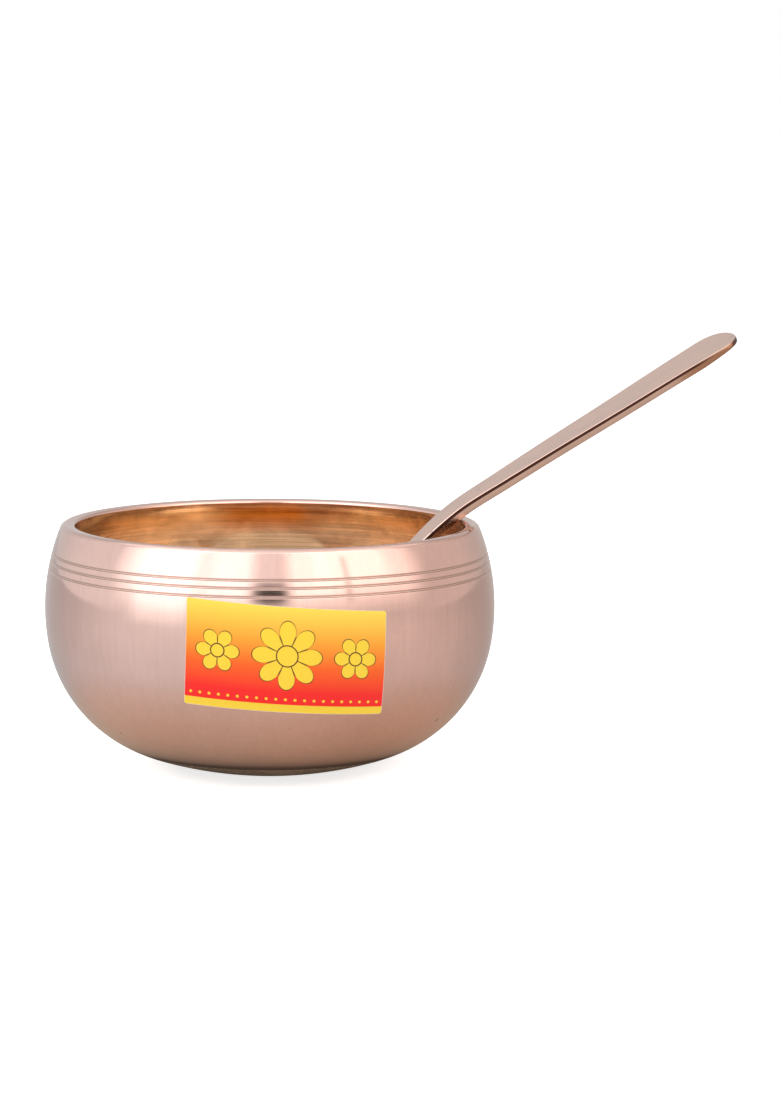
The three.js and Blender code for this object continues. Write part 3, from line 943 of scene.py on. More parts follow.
def finish_bowl_metal(material):
    tree, shader = surface_of(material)
    place = scaled(tree, object_place(tree), 1 / MM)
    x, y, z = parts(tree, place)
    r = calc(tree, "MAXIMUM", distance_of(tree, x, y), SMALLEST_RADIUS)
    round_x, round_y = (calc(tree, "DIVIDE", value, r) for value in (x, y))
    line_place = stretched(tree, (round_x, LINES_ROUND), (round_y, LINES_ROUND), (r, LINES_ACROSS))
    drift = calc(tree, "MULTIPLY", z, LINES_ACROSS)
    lines, smudge, pits = wear_masks(tree, place, line_place, drift, SMUDGE_SIZE, PIT_SIZE)
    inside = attribute(tree, "inside")
    groove = attribute(tree, "groove")
    inside_colour, scatter = inside_look(tree, x, y, z, r)
    scatter = calc(tree, "MULTIPLY", inside, scatter)
    put(tree, shader.inputs["Metallic"], calc(tree, "SUBTRACT", 1.0, scatter))
    colour = blend(tree, inside, OUTSIDE_COLOUR, inside_colour)
    streak_place = stretched(tree, (x, STREAKS_ACROSS), (y, STREAKS_ACROSS), (z, STREAKS_UP))
    streaks = noise(tree, streak_place, 1.0, STREAK_DETAIL)
    tone = 1.0
    for mask, swings in ((lines, LINE_TONE), (smudge, SMUDGE_TONE), (streaks, STREAK_TONE)):
        swing = remap(tree, inside, 0.0, 1.0, *swings)
        tone = calc(tree, "MULTIPLY_ADD", calc(tree, "SUBTRACT", mask, 0.5), swing, tone)
    colour = toned(tree, colour, tone)
    colour = blend(tree, calc(tree, "MULTIPLY", groove, GROOVE_SHARE), colour, GROOVE_COLOUR)
    dirt_and_painted_dark = calc(tree, "MULTIPLY", pits, PIT_SHARE)
    put(tree, shader.inputs["Base Color"], blend(tree, dirt_and_painted_dark, colour, GRIME_COLOUR))
    rough = remap(tree, inside, 0.0, 1.0, OUTSIDE_ROUGHNESS, INSIDE_ROUGHNESS)
    rough = calc(tree, "ADD", rough, remap(tree, smudge, 0.0, 1.0, *SMUDGE_ROUGHNESS))
    dull = calc(tree, "MULTIPLY", calc(tree, "MAXIMUM", groove, dirt_and_painted_dark), DULL_ROUGHNESS)
    put(tree, shader.inputs["Roughness"], calc(tree, "ADD", rough, dull))
    line_height = calc(tree, "MULTIPLY", lines, remap(tree, inside, 0.0, 1.0, *LINE_RELIEF))
    height = calc(tree, "SUBTRACT", line_height, calc(tree, "MULTIPLY", pits, PIT_RELIEF))
    add_bump(tree, shader, height, *BOWL_BUMP)


finish_bowl_metal(bowl_metal)
print("bowl finish uses", len(bowl_metal.node_tree.nodes), "nodes")

# %% [markdown]
# The spoon is one bar of metal beaten out at both ends. From the side it is a single sweeping line: straight
# through the scoop, over the lip and out. Across, it is a dish at one end and a flat strip at the other. So
# it is lofted: a ring of points at each place along the line. The numbers are the solid's own, and the line
# is the same smooth curve through the same points, so the dressed spoon lies exactly over the solid one.

# %% Spoon sizes
SPOON_AZIMUTH = math.radians(13.9)
CLEARANCE = 0.32
LIP_CLEARANCE = 0.45
HANDLE_SLOPE = math.radians(32.5)
HANDLE_REACH = 84.6
SCOOP_PITCH = math.radians(31)
TIP_RADIUS = 24.5
SCOOP_LENGTH = 44.0
SCOOP_WIDTH = 30.0
SCOOP_DEPTH = 8.0
SCOOP_THICKNESS = 1.6
WIDEST_AT = 0.46
SHOULDER_END = 1.12
NECK_WIDTH = 5.4
NECK_THICKNESS = 2.6
HANDLE_START_WIDTH = 4.2
HANDLE_END_WIDTH = 19.8
HANDLE_THICKNESS = 2.54
HANDLE_END_THICKNESS = 2.05
HANDLE_TIP_THICKNESS = 1.2
EDGE_CHAMFER = 0.35
END_ROUNDING = 7.0
END_SQUARENESS = 2.4
# the line's points between the tip and the lip: shares of the scoop's length, then shares of the way from
# the scoop's end to the lip, across and up
SCOOP_SHARES = (0.5, 0.9)
NECK_SHARES = ((0.3, 0.33), (0.7, 0.74))
LIP_POINT = 1 + len(SCOOP_SHARES) + len(NECK_SHARES)
# the handle's slight bend: a share of its reach, and the slope in degrees at which that point is seen
HANDLE_BEND = ((0.18, 31.3), (0.35, 30.85), (0.56, 30.45), (0.82, 30.35), (1.0, 30.2))


def spoon_points():
    rest = point_at(INNER_ROUND, LIP_INNER_ROUND + LIP_CLEARANCE, HANDLE_SLOPE + math.pi / 2)
    on_lip = point_at(rest, HANDLE_THICKNESS, HANDLE_SLOPE + math.pi / 2)
    tip_angle = AXIS_ANGLE + math.asin((TIP_RADIUS - UNDER_CENTRE[0]) / UNDER_RADIUS)
    tip_floor = wall_point(tip_angle, thickness_at(tip_angle))
    tip = (-TIP_RADIUS, tip_floor[1] + CLEARANCE + SCOOP_THICKNESS * math.cos(SCOOP_PITCH))
    end = point_at(tip, SCOOP_LENGTH, SCOOP_PITCH)
    points = [tip] + [point_at(tip, SCOOP_LENGTH * share, SCOOP_PITCH) for share in SCOOP_SHARES]
    for across, up in NECK_SHARES:
        points.append((mix(end[0], on_lip[0], across), mix(end[1], on_lip[1], up)))
    points.append(on_lip)
    for share, slope in HANDLE_BEND:
        points.append(point_at(on_lip, HANDLE_REACH * share, math.radians(slope)))
    return points


print("spoon line has", len(spoon_points()), "points, the one on the lip is number", LIP_POINT + 1)

# %% [markdown]
# A smooth curve runs through those points. A Bezier curve could be drawn by eye, but its handles would be
# more numbers to guess. A Catmull-Rom curve finds its slopes from the neighbouring points by itself. It is
# kept as many short steps, so that any distance from the tip can be looked up.

# %% Spoon line
STEPS_PER_SPAN = 160
SMALLEST_SPAN = 1e-6


def smooth_line(points):
    """A centripetal Catmull-Rom curve: it passes through every point without overshooting."""
    first = (2 * points[0][0] - points[1][0], 2 * points[0][1] - points[1][1])
    last = (2 * points[-1][0] - points[-2][0], 2 * points[-1][1] - points[-2][1])
    full = [first] + points + [last]
    line = []
    for i in range(len(points) - 1):
        p0, p1, p2, p3 = full[i:i + 4]
        spans = (math.dist(a, b) for a, b in ((p0, p1), (p1, p2), (p2, p3)))
        gap0, gap1, gap2 = (max(span, SMALLEST_SPAN) ** 0.5 for span in spans)
        for step in range(STEPS_PER_SPAN):
            t = step / STEPS_PER_SPAN
            spot = []
            for a, b, c, d in zip(p0, p1, p2, p3):
                into = ((b - a) / gap0 - (c - a) / (gap0 + gap1) + (c - b) / gap1) * gap1
                out = ((c - b) / gap1 - (d - b) / (gap1 + gap2) + (d - c) / gap2) * gap1
                cubic, square = 2 * b - 2 * c + into + out, 3 * c - 3 * b - 2 * into - out
                spot.append(((cubic * t + square) * t + into) * t + b)
            line.append(tuple(spot))
    return line + [points[-1]]


SPOON_LINE = smooth_line(spoon_points())
SPOON_ALONG = [0.0]
for before, after in zip(SPOON_LINE, SPOON_LINE[1:]):
    SPOON_ALONG.append(SPOON_ALONG[-1] + math.dist(before, after))
SPOON_LENGTH = SPOON_ALONG[-1]
LIP_ALONG = SPOON_ALONG[LIP_POINT * STEPS_PER_SPAN]
print("spoon", round(SPOON_LENGTH, 1), "mm along its line, on the lip at", round(LIP_ALONG, 1))

# %% [markdown]
# Across, the spoon changes all along its length: a wide dished scoop, a narrow neck, and a handle that widens
# to a rounded end. One section made larger and smaller would do for a plain bar. Here the half width, the
# hollow and the metal's thickness are three small formulas of the distance from the tip.

# %% Spoon widths
# between which shares of the shank it takes on the handle's width
HANDLE_WIDENS = (0.05, 0.33)
# from which share of the scoop its metal thickens, and at which share of the way to the lip it is full
NECK_THICKENS = 0.75
HANDLE_FULL = 0.9


def clamped(value, low=0.0, high=1.0):
    return min(max(value, low), high)


def ease_out(value, start, end):
    return (1 + math.cos(math.pi * clamped((value - start) / (end - start)))) / 2


def quarter_oval(value, full):
    return math.sqrt(1 - (1 - clamped(value / full)) ** 2)


def half_width(along):
    scoop = along / SCOOP_LENGTH
    towards_end = clamped((along - SCOOP_LENGTH) / (SPOON_LENGTH - SCOOP_LENGTH))
    handle = mix(HANDLE_START_WIDTH, HANDLE_END_WIDTH, towards_end)
    shank = mix(NECK_WIDTH, handle, ease(towards_end, *HANDLE_WIDENS))
    shoulder = mix(shank, SCOOP_WIDTH, ease_out(scoop, WIDEST_AT, SHOULDER_END))
    past = clamped((along - SPOON_LENGTH + END_ROUNDING) / END_ROUNDING)
    rounding = (1 - past ** END_SQUARENESS) ** (1 / END_SQUARENESS)
    return max(shoulder / 2 * quarter_oval(scoop, WIDEST_AT) * rounding, 2 * EDGE_CHAMFER)


def hollow_at(along):
    scoop = along / SCOOP_LENGTH
    return SCOOP_DEPTH * (1 - (1 - clamped(2 * scoop)) ** 2) * ease_out(scoop, 0.5, 1)


def metal_at(along):
    into_neck = ease(along, SCOOP_LENGTH * NECK_THICKENS, SCOOP_LENGTH)
    into_handle = ease(along, SCOOP_LENGTH, HANDLE_FULL * LIP_ALONG)
    past_lip = clamped((along - LIP_ALONG) / (SPOON_LENGTH - LIP_ALONG))
    into_tip = ease(along, SPOON_LENGTH - 2 * END_ROUNDING, SPOON_LENGTH)
    handle = mix(mix(HANDLE_THICKNESS, HANDLE_END_THICKNESS, past_lip), HANDLE_TIP_THICKNESS, into_tip)
    return mix(mix(SCOOP_THICKNESS, NECK_THICKNESS, into_neck), handle, into_handle)


print("scoop", round(2 * half_width(WIDEST_AT * SCOOP_LENGTH), 1), "mm wide, handle",
      round(2 * half_width(SPOON_LENGTH - END_ROUNDING), 1), "mm wide near its end")

# %% [markdown]
# Each ring starts as the top surface, dished in the scoop and flat in the handle. The underside is the top
# pushed in by the metal's thickness. The edges between them are rounded over, because a worn spoon has no
# sharp corner, and because the round edge mirrors something dark as the thin dark line along the handle; the
# finish paints that line in as well, a painted dark reflection.

# %% Spoon rings
ACROSS = 28
EDGE_POINTS = 6
TIP_RINGS = 22
SCOOP_RINGS = 34
SHANK_RINGS = 96
END_RINGS = 20


def bent(start, corner, end, count):
    """Points of a bend from start to end that leans towards the corner, both ends left out."""
    shares = [(i + 1) / (count + 1) for i in range(count)]
    return [tuple((1 - t) ** 2 * a + 2 * t * (1 - t) * b + t * t * c for a, b, c in zip(start, corner, end))
            for t in shares]


def ring_outline(along):
    """Points as (sideways, rise, turn): the turn is 0 on top, 1 at the edge's middle and 2 underneath."""
    half, hollow, metal = half_width(along), hollow_at(along), metal_at(along)
    flat = half - EDGE_CHAMFER
    top, under = [], []
    for i in range(ACROSS + 1):
        side = i / ACROSS * 2 - 1
        depth = hollow * (1 - side * side)
        slope = math.atan2(2 * hollow * side, half)
        top.append((side * flat, -depth, 0.0))
        under.append((side * flat + metal * math.sin(slope), -depth - metal * math.cos(slope), 2.0))
    outer = max(half, abs(under[0][0]) + EDGE_CHAMFER / 2)
    waist = (outer, under[0][1] / 2, 1.0)
    corner_top, corner_under = (half, 0.0, 0.5), (outer, under[0][1], 1.5)
    edge = bent(top[-1], corner_top, waist, EDGE_POINTS) + [waist]
    edge += bent(waist, corner_under, under[-1], EDGE_POINTS)
    mirrored = [(-x, y, turn) for x, y, turn in reversed(edge)]
    return top + edge + under[::-1] + mirrored


def line_at(along):
    """Where the spoon's line is at a distance from the tip, and which way it runs there."""
    low, high = 0, len(SPOON_ALONG) - 1
    while high - low > 1:
        middle = (low + high) // 2
        low, high = (middle, high) if SPOON_ALONG[middle] <= along else (low, middle)
    share = (along - SPOON_ALONG[low]) / (SPOON_ALONG[high] - SPOON_ALONG[low])
    (x0, z0), (x1, z1) = SPOON_LINE[low], SPOON_LINE[high]
    ahead = Vector((x1 - x0, 0.0, z1 - z0)).normalized()
    return Vector((mix(x0, x1, share), 0.0, mix(z0, z1, share))), ahead


def spoon_stations():
    """The rings' distances from the tip, closer together where the outline turns quickly."""
    end_start = SPOON_LENGTH - END_ROUNDING
    tip = [SCOOP_LENGTH / 2 * (1 - math.cos(a)) for a in steps(0, math.pi / 2, TIP_RINGS)]
    shoulders = steps(SCOOP_LENGTH / 2, SCOOP_LENGTH * SHOULDER_END, SCOOP_RINGS)[1:]
    shank = steps(SCOOP_LENGTH * SHOULDER_END, end_start, SHANK_RINGS)[1:]
    end = [end_start + END_ROUNDING * math.sin(a) for a in steps(0, math.pi / 2, END_RINGS)[1:]]
    return tip + shoulders + shank + end


print("ring of", len(ring_outline(10.0)), "points at", len(spoon_stations()), "places")

# %% [markdown]
# The rings are skinned into one closed surface and the whole spoon is swung round the bowl's axis to where
# it leans. Every point also remembers where it lies on the spoon: sideways, rise and distance from the tip,
# in millimetres. The finish needs that, because the polishing lines run along the spoon wherever it points.

# %% Spoon
spoon_metal = bpy.data.materials.new("spoon_bell_metal")


def loft_spoon(name, material):
    swing = Matrix.Rotation(SPOON_AZIMUTH, 3, "Z")
    points, places, turns = [], [], []
    stations = spoon_stations()
    for along in stations:
        centre, ahead = line_at(clamped(along, 0.0, SPOON_LENGTH))
        up = Vector((-ahead.z, 0.0, ahead.x))
        for sideways, rise, turn in ring_outline(along):
            spot = centre + Vector((0.0, -sideways, 0.0)) + up * rise
            points.append(swing @ spot * MM)
            places.append((sideways, rise, along))
            turns.append(turn)
    around = len(points) // len(stations)
    faces = []
    for ring in range(len(stations) - 1):
        for i in range(around):
            here, beside = ring * around + i, ring * around + (i + 1) % around
            faces.append((here, beside, beside + around, here + around))
    faces += [tuple(range(around)), tuple(range((len(stations) - 1) * around, len(points)))]
    mesh = bpy.data.meshes.new(name)
    mesh.from_pydata(points, [], faces)
    stored = mesh.attributes.new("spoon_mm", "FLOAT_VECTOR", "POINT")
    for item, place in zip(stored.data, places):
        item.vector = place
    mesh.attributes.new("side_turn", "FLOAT", "POINT").data.foreach_set("value", turns)
    mesh.materials.append(material)
    mesh.polygons.foreach_set("use_smooth", [True] * len(mesh.polygons))
    print(name, len(mesh.polygons), "faces,", face_outwards(mesh), "open edges")
    return add_object(name, mesh)


spoon_piece = loft_spoon("leaning_spoon", spoon_metal)

# %% [markdown]
# The spoon's metal is the bowl's, polished along its length and left a little more satin. The handle's sides
# are painted darker and browner than its top, a painted shade, while the edge between them stays bright, and
# just below that edge runs a fine near-black line, a painted dark reflection. Towards the handle's end the
# sides are browner, and the end itself is painted nearly black.

# %% Spoon metal
SPOON_COLOUR = (0.76, 0.53, 0.445, 1.0)
# painted shade: the handle's sides are painted darker and browner than its top
SPOON_SIDE_SHADE = (0.50, 0.35, 0.28, 1.0)
SPOON_END_SIDE_SHADE = (0.34, 0.18, 0.11, 1.0)
# painted dark reflection: the near-black line below the handle's edge; the dark end is painted with it
DARK_REFLECTION_AND_END_COLOUR = (0.05, 0.02, 0.015, 1.0)
# between these places on the handle its sides turn brown
BROWN_FROM = LIP_ALONG + 0.72 * HANDLE_REACH
BROWN_TO = LIP_ALONG + 0.82 * HANDLE_REACH
# the painted dark reflection below the edge is lost in the brown side towards the end, down to this share
DARK_REFLECTION_FADED = LIP_ALONG + 0.93 * HANDLE_REACH
DARK_REFLECTION_REST = 0.2
# the turns onto the side between which the side's painted shade and the painted dark reflection lie, and
# their softness
SIDE_SHADE_BAND = (0.45, 1.7, 0.15)
DARK_REFLECTION_BAND = (0.33, 0.84, 0.06)
# the dark end: between these distances from the handle's end and these turns it becomes full
END_ZONE = (5.0, 2.2)
END_TURN = (0.1, 0.4)
END_SHARE = 0.9
# how fine the polishing lines are across the spoon and along it, and the sizes of smudges and pits
SPOON_LINES_ACROSS = 2.2
SPOON_LINES_ALONG = 0.05
SPOON_SMUDGE_SIZE = 9.0
SPOON_PIT_SIZE = 4.0
# the tone where lines or smudges are at their least and at their most
SPOON_LINE_TONE = (0.97, 1.02)
SPOON_SMUDGE_TONE = (0.95, 1.03)
SPOON_PIT_SHARE = 0.5
# how deep pits are beside the lines, and the bump's height in millimetres and strength
SPOON_PIT_RELIEF = 3.0
SPOON_BUMP = (0.004, 0.2)
SPOON_ROUGHNESS = 0.24
# what smudges add to the roughness, at their least and at their most
SPOON_SMUDGE_ROUGHNESS = (-0.03, 0.05)


def finish_spoon_metal(material):
    tree, shader = surface_of(material)
    shader.inputs["Metallic"].default_value = 1.0
    sideways, rise, along = parts(tree, attribute(tree, "spoon_mm", "Vector"))
    line_place = stretched(
        tree, (sideways, SPOON_LINES_ACROSS), (rise, SPOON_LINES_ACROSS), (along, SPOON_LINES_ALONG))
    place = scaled(tree, object_place(tree), 1 / MM)
    lines, smudge, pits = wear_masks(tree, place, line_place, 0.0, SPOON_SMUDGE_SIZE, SPOON_PIT_SIZE)
    tone = remap(tree, lines, 0.0, 1.0, *SPOON_LINE_TONE)
    tone = calc(tree, "MULTIPLY", tone, remap(tree, smudge, 0.0, 1.0, *SPOON_SMUDGE_TONE))
    turn = attribute(tree, "side_turn")
    brown = remap(tree, along, BROWN_FROM, BROWN_TO)
    # painted shade on the handle's sides, browner towards its end
    side_shade = blend(tree, brown, SPOON_SIDE_SHADE, SPOON_END_SIDE_SHADE)
    on_handle = remap(tree, along, SCOOP_LENGTH, LIP_ALONG)
    side_shade_share = calc(tree, "MULTIPLY", between(tree, turn, *SIDE_SHADE_BAND), on_handle)
    colour = toned(tree, blend(tree, side_shade_share, SPOON_COLOUR, side_shade), tone)
    colour = blend(tree, calc(tree, "MULTIPLY", pits, SPOON_PIT_SHARE), colour, GRIME_COLOUR)
    # painted dark reflection: a near-black line just below the handle's edge, where its side mirrors
    # something dark
    dark_reflection = calc(tree, "MULTIPLY", between(tree, turn, *DARK_REFLECTION_BAND), on_handle)
    dark_reflection = calc(tree, "MULTIPLY", dark_reflection, remap(tree, along, BROWN_TO, DARK_REFLECTION_FADED, 1.0, DARK_REFLECTION_REST))
    near_end = remap(tree, along, *(SPOON_LENGTH - before for before in END_ZONE))
    end_face = calc(tree, "MULTIPLY", near_end, remap(tree, turn, *END_TURN))
    dirt_and_painted_dark = calc(tree, "MAXIMUM", dark_reflection, calc(tree, "MULTIPLY", end_face, END_SHARE))
    put(tree, shader.inputs["Base Color"], blend(tree, dirt_and_painted_dark, colour, DARK_REFLECTION_AND_END_COLOUR))
    rough = calc(tree, "ADD", SPOON_ROUGHNESS, remap(tree, smudge, 0.0, 1.0, *SPOON_SMUDGE_ROUGHNESS))
    put(tree, shader.inputs["Roughness"], rough)
    height = calc(tree, "SUBTRACT", lines, calc(tree, "MULTIPLY", pits, SPOON_PIT_RELIEF))
    add_bump(tree, shader, height, *SPOON_BUMP)


finish_spoon_metal(spoon_metal)
print("spoon finish uses", len(spoon_metal.node_tree.nodes), "nodes")

# %% [markdown]
# The label is a printed paper strip stuck on the belly by hand, a little crooked. It starts as a flat slip
# with rounded corners, and a node tree wraps it over the shoulder and hip: a distance measured on the paper
# stays the same distance on the metal. Bending by hand-placed points would stretch the print.

# %% Label slip
LABEL_WIDTH = 47.1
LABEL_HEIGHT = 25.2
LABEL_THICKNESS = 0.3
LABEL_GAP = 0.2
LABEL_CORNER = 0.7
LABEL_COLUMNS = 96
LABEL_ROWS = 52


def slip_mesh(name):
    """A flat slip lying on z, its print side up, and its own place on the paper kept as an attribute."""
    mesh = bpy.data.meshes.new(name)
    half_x, half_y = LABEL_WIDTH / 2, LABEL_HEIGHT / 2
    points, faces = [], []
    xs, ys = steps(-half_x, half_x, LABEL_COLUMNS), steps(-half_y, half_y, LABEL_ROWS)
    for height in (LABEL_GAP, LABEL_GAP + LABEL_THICKNESS):
        for y in ys:
            for x in xs:
                over_x = max(abs(x) - half_x + LABEL_CORNER, 0.0)
                over_y = max(abs(y) - half_y + LABEL_CORNER, 0.0)
                reach = max(math.hypot(over_x, over_y) / LABEL_CORNER, 1.0)
                pull = 1 - 1 / reach
                points.append((
                    x - math.copysign(over_x * pull, x), y - math.copysign(over_y * pull, y), height,
                ))
    row, layer = len(xs), len(xs) * len(ys)
    for j in range(len(ys) - 1):
        for i in range(len(xs) - 1):
            a = j * row + i
            faces.append((a, a + row, a + row + 1, a + 1))
            faces.append((a + layer, a + layer + 1, a + layer + row + 1, a + layer + row))
    last = len(ys) - 1
    rim = list(range(row)) + [j * row + row - 1 for j in range(1, last + 1)]
    rim += [last * row + i for i in range(row - 2, -1, -1)] + [j * row for j in range(last - 1, 0, -1)]
    for a, b in zip(rim, rim[1:] + rim[:1]):
        faces.append((a, b, b + layer, a + layer))
    mesh.from_pydata(points, [], faces)
    stored = mesh.attributes.new("paper_mm", "FLOAT_VECTOR", "POINT")
    for item, point in zip(stored.data, points):
        item.vector = point
    return mesh


slip = slip_mesh("label_slip")
print("slip of", len(slip.polygons), "faces")

# %% [markdown]
# The wrap is the belly's own geometry as a formula. The height on the paper gives an angle on the shoulder's
# arc or, below it, on the hip's arc. The distance sideways gives a turn round the axis at that radius.

# %% Wrap node tree
# the turn to the right of the front, the drop below the belly's widest place in millimetres, the tilt of the
# strip's long edges and the lean of its short ones
LABEL_PLACE = {
    "Turn": math.radians(4),
    "Drop": 4.9,
    "Tilt": math.radians(4.5),
    "Lean": math.radians(1.5),
}


def make_wrap_tree(material):
    tree = bpy.data.node_groups.new("wrap_on_belly", "GeometryNodeTree")
    tree.interface.new_socket("Geometry", in_out="INPUT", socket_type="NodeSocketGeometry")
    ids = {name: add_input(tree, name, "NodeSocketFloat", value) for name, value in LABEL_PLACE.items()}
    ids["Finish"] = add_input(tree, "Finish", "NodeSocketMaterial", material)
    tree.interface.new_socket("Geometry", in_out="OUTPUT", socket_type="NodeSocketGeometry")
    inlet = tree.nodes.new("NodeGroupInput")
    outlet = tree.nodes.new("NodeGroupOutput")
    x, y, height = parts(tree, tree.nodes.new("GeometryNodeInputPosition").outputs[0])

    def times_sine(value, angle):
        return calc(tree, "MULTIPLY", value, calc(tree, "SINE", angle))

    sideways = calc(tree, "ADD", x, times_sine(y, inlet.outputs["Lean"]))
    up = calc(tree, "SUBTRACT", calc(tree, "SUBTRACT", y, times_sine(x, inlet.outputs["Tilt"])),
              inlet.outputs["Drop"])
    hip_start = -HIP_TOP * SHOULDER_RADIUS
    on_hip = calc(tree, "LESS_THAN", up, hip_start)

    def shoulder_or_hip(shoulder, hip):
        return calc(tree, "MULTIPLY_ADD", on_hip, hip - shoulder, shoulder)

    radius = shoulder_or_hip(SHOULDER_RADIUS, HIP_RADIUS)
    # measured from the place where the two arcs meet, the angle is a plain distance over the arc's radius
    angle = calc(tree, "ADD", calc(tree, "DIVIDE", calc(tree, "SUBTRACT", up, hip_start), radius), -HIP_TOP)
    cosine, sine = calc(tree, "COSINE", angle), calc(tree, "SINE", angle)
    skin = calc(tree, "MULTIPLY_ADD", radius, cosine, shoulder_or_hip(SHOULDER_CENTRE[0], HIP_CENTRE[0]))
    out = calc(tree, "MULTIPLY_ADD", height, cosine, skin)
    level = calc(tree, "MULTIPLY_ADD", calc(tree, "ADD", radius, height), sine,
                 shoulder_or_hip(SHOULDER_CENTRE[1], HIP_CENTRE[1]))
    around = calc(tree, "ADD", inlet.outputs["Turn"], calc(tree, "DIVIDE", sideways, skin))
    to_x = calc(tree, "MULTIPLY", out, calc(tree, "SINE", around))
    to_y = calc(tree, "MULTIPLY", out, calc(tree, "MULTIPLY", calc(tree, "COSINE", around), -1.0))
    placed = scaled(tree, vector(tree, to_x, to_y, level), MM)
    move = tree.nodes.new("GeometryNodeSetPosition")
    realize = tree.nodes.new("GeometryNodeRealizeInstances")
    finish = tree.nodes.new("GeometryNodeSetMaterial")
    tree.links.new(placed, move.inputs["Position"])
    tree.links.new(inlet.outputs["Finish"], finish.inputs["Material"])
    lead_geometry(tree, inlet.outputs["Geometry"], move, realize, finish, outlet)
    return tree, ids


def wrap_label(name, mesh, material):
    worker = add_object(name + "_flat", mesh)
    tree, ids = make_wrap_tree(material)
    modifier = worker.modifiers.new("wrap", "NODES")
    modifier.node_group = tree
    for key, value in (LABEL_PLACE | {"Finish": material}).items():
        modifier[ids[key]] = value
    piece = plain_mesh(worker, name)
    print(name, len(piece.data.polygons), "faces,", face_outwards(piece.data), "open edges")
    return piece


label_paper = bpy.data.materials.new("printed_label")
label_piece = wrap_label("paper_label", slip, label_paper)

# %% [markdown]
# The label's ornament is plain: an eight-petal flower between two small ones and a row of dots. It could come
# from a picture, but formulas of the place on the paper are sharp at any distance. The petals are a wave in
# the direction round a flower's middle, and the row is one dot that the Wrap operation repeats.

# %% Flowers and dots
BAND_TOP = -LABEL_HEIGHT / 2 + 2.1
# middle sideways and radius in millimetres, and the number of petals
FLOWERS = ((0.0, 8.2, 8), (-16.0, 5.2, 6), (16.0, 5.2, 6))
FLOWER_HEIGHT = 1.3
# the power that rounds a petal's end, and the values of the wave round the flower where the gaps lie
PETAL_POWER = 0.55
PETAL_GAP = (0.10, 0.20)
OUTLINE_WIDTH = 0.22
# the eye in the middle: its share of the flower's radius, and half the width of the ring round it
EYE_SHARE = 0.3
EYE_LINE = 0.10
DOT_HEIGHT = BAND_TOP + 1.3
DOT_SPACING = 2.2
DOT_RADIUS = 0.34
SOFT_EDGE = 0.09


def below_edge(tree, value, edge):
    """1 where the value lies below the edge and 0 above it, with a soft step between."""
    return remap(tree, value, edge - SOFT_EDGE, edge + SOFT_EDGE, 1.0, 0.0)


def flower_masks(tree, x, y, middle, radius, petals):
    """The petals with their outline, and the petals alone, as values from 0 to 1."""
    from_x, from_y = calc(tree, "SUBTRACT", x, middle), calc(tree, "SUBTRACT", y, FLOWER_HEIGHT)
    distance = distance_of(tree, from_x, from_y)
    angle = calc(tree, "ARCTAN2", from_y, from_x)
    wave = calc(tree, "ABSOLUTE", calc(tree, "COSINE", calc(tree, "MULTIPLY", angle, petals / 2)))
    reach = calc(tree, "MULTIPLY_ADD", calc(tree, "POWER", wave, PETAL_POWER), radius / 2, radius / 2)
    outline = below_edge(tree, calc(tree, "SUBTRACT", distance, reach), 0.0)
    inner = calc(tree, "SUBTRACT", reach, OUTLINE_WIDTH)
    petal = below_edge(tree, calc(tree, "SUBTRACT", distance, inner), 0.0)
    eye = radius * EYE_SHARE
    from_eye = calc(tree, "ABSOLUTE", calc(tree, "SUBTRACT", distance, eye))
    eye_ring = remap(tree, from_eye, EYE_LINE, EYE_LINE + SOFT_EDGE, 1.0, 0.0)
    gap = remap(tree, wave, *PETAL_GAP, 1.0, 0.0)
    beyond_eye = remap(tree, distance, eye, eye + SOFT_EDGE)
    cut = calc(tree, "MAXIMUM", eye_ring, calc(tree, "MULTIPLY", gap, beyond_eye))
    return outline, calc(tree, "MULTIPLY", petal, calc(tree, "SUBTRACT", 1.0, cut))


def dot_row(tree, x, y):
    along = calc(tree, "WRAP", x, DOT_SPACING / 2, -DOT_SPACING / 2)
    distance = distance_of(tree, along, calc(tree, "SUBTRACT", y, DOT_HEIGHT))
    return below_edge(tree, distance, DOT_RADIUS)


print("ornament of", len(FLOWERS), "flowers and about", round(LABEL_WIDTH / DOT_SPACING), "dots")

# %% [markdown]
# The print runs from yellow at the top to red at the bottom, with a yellow band along its foot. A Color Ramp
# could do that. Here each stop is a height in millimetres on the paper, which is easier to measure and to
# change. The print starts a little way in from the cut edge, and slight waves keep the paper from looking
# like a sheet of glass.

# %% Label print
# the height on the paper in millimetres and the colour there
PRINT_STOPS = (
    (12.6, (0.98, 0.72, 0.095, 1.0)),
    (4.6, (0.97, 0.37, 0.035, 1.0)),
    (-1.2, (0.96, 0.135, 0.015, 1.0)),
    (-7.5, (0.95, 0.022, 0.018, 1.0)),
)
FLOWER_YELLOW = (0.96, 0.66, 0.05, 1.0)
OUTLINE_BROWN = (0.12, 0.03, 0.012, 1.0)
PAPER_EDGE = (0.82, 0.70, 0.60, 1.0)
# the print covers the top of the paper, from these shares of its thickness on, and starts this far in
PRINT_LAYER = (0.9, 0.98)
PRINT_MARGIN = (0.02, 0.14)
PAPER_ROUGHNESS = 0.42
PAPER_SHINE = 0.25
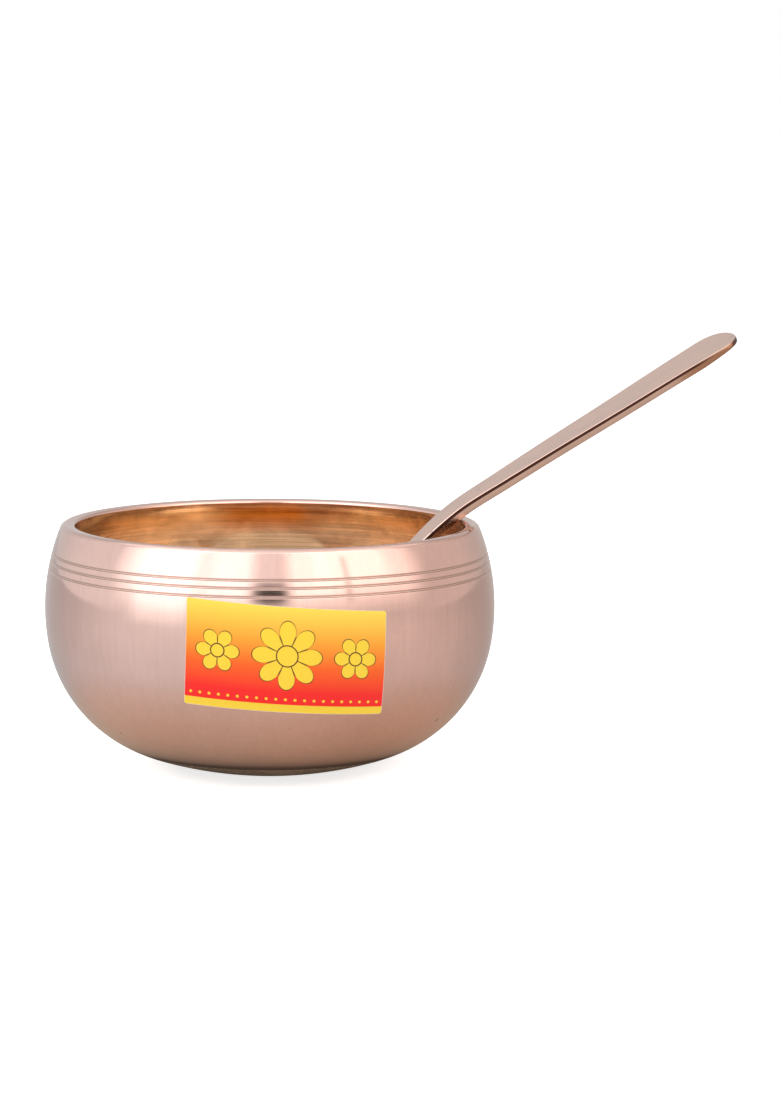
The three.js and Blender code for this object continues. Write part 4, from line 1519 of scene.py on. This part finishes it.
# how fine the paper's waves are, their height in millimetres and their strength
PAPER_WAVES = 0.16
PAPER_BUMP = (0.12, 0.35)


def finish_label(material):
    tree, shader = surface_of(material)
    shader.inputs["Roughness"].default_value = PAPER_ROUGHNESS
    shader.inputs["Specular IOR Level"].default_value = PAPER_SHINE
    x, y, height = parts(tree, attribute(tree, "paper_mm", "Vector"))
    colour = PRINT_STOPS[0][1]
    for (above, _), (level, stop) in zip(PRINT_STOPS, PRINT_STOPS[1:]):
        colour = blend(tree, remap(tree, y, level, above, 1.0, 0.0, smooth=False), colour, stop)
    for middle, radius, petals in FLOWERS:
        outline, petal = flower_masks(tree, x, y, middle, radius, petals)
        colour = blend(tree, outline, colour, OUTLINE_BROWN)
        colour = blend(tree, petal, colour, FLOWER_YELLOW)
    for mask in (dot_row(tree, x, y), below_edge(tree, y, BAND_TOP)):
        colour = blend(tree, mask, colour, FLOWER_YELLOW)
    on_top = remap(tree, height, *(LABEL_GAP + share * LABEL_THICKNESS for share in PRINT_LAYER))
    from_edges = (
        calc(tree, "SUBTRACT", size / 2, calc(tree, "ABSOLUTE", value))
        for size, value in ((LABEL_WIDTH, x), (LABEL_HEIGHT, y))
    )
    inside_margin = remap(tree, calc(tree, "MINIMUM", *from_edges), *PRINT_MARGIN)
    colour = blend(tree, calc(tree, "MULTIPLY", on_top, inside_margin), PAPER_EDGE, colour)
    put(tree, shader.inputs["Base Color"], colour)
    place = scaled(tree, object_place(tree), 1 / MM)
    add_bump(tree, shader, noise(tree, place, PAPER_WAVES), *PAPER_BUMP)


finish_label(label_paper)
print("label finish uses", len(label_paper.node_tree.nodes), "nodes")

# %% [markdown]
# Each piece is tied to the body it moves with and takes the place of its solid, which is hidden.

# %% Tie each piece to its body
for piece, body, node, slot in (
    (bowl_piece, "bowl", "bowl", "turned_bronze"),
    (spoon_piece, "spoon", "spoon", "spoon_bronze"),
    (label_piece, "bowl", "label", "printed_paper"),
):
    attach(piece, body)
    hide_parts(node)
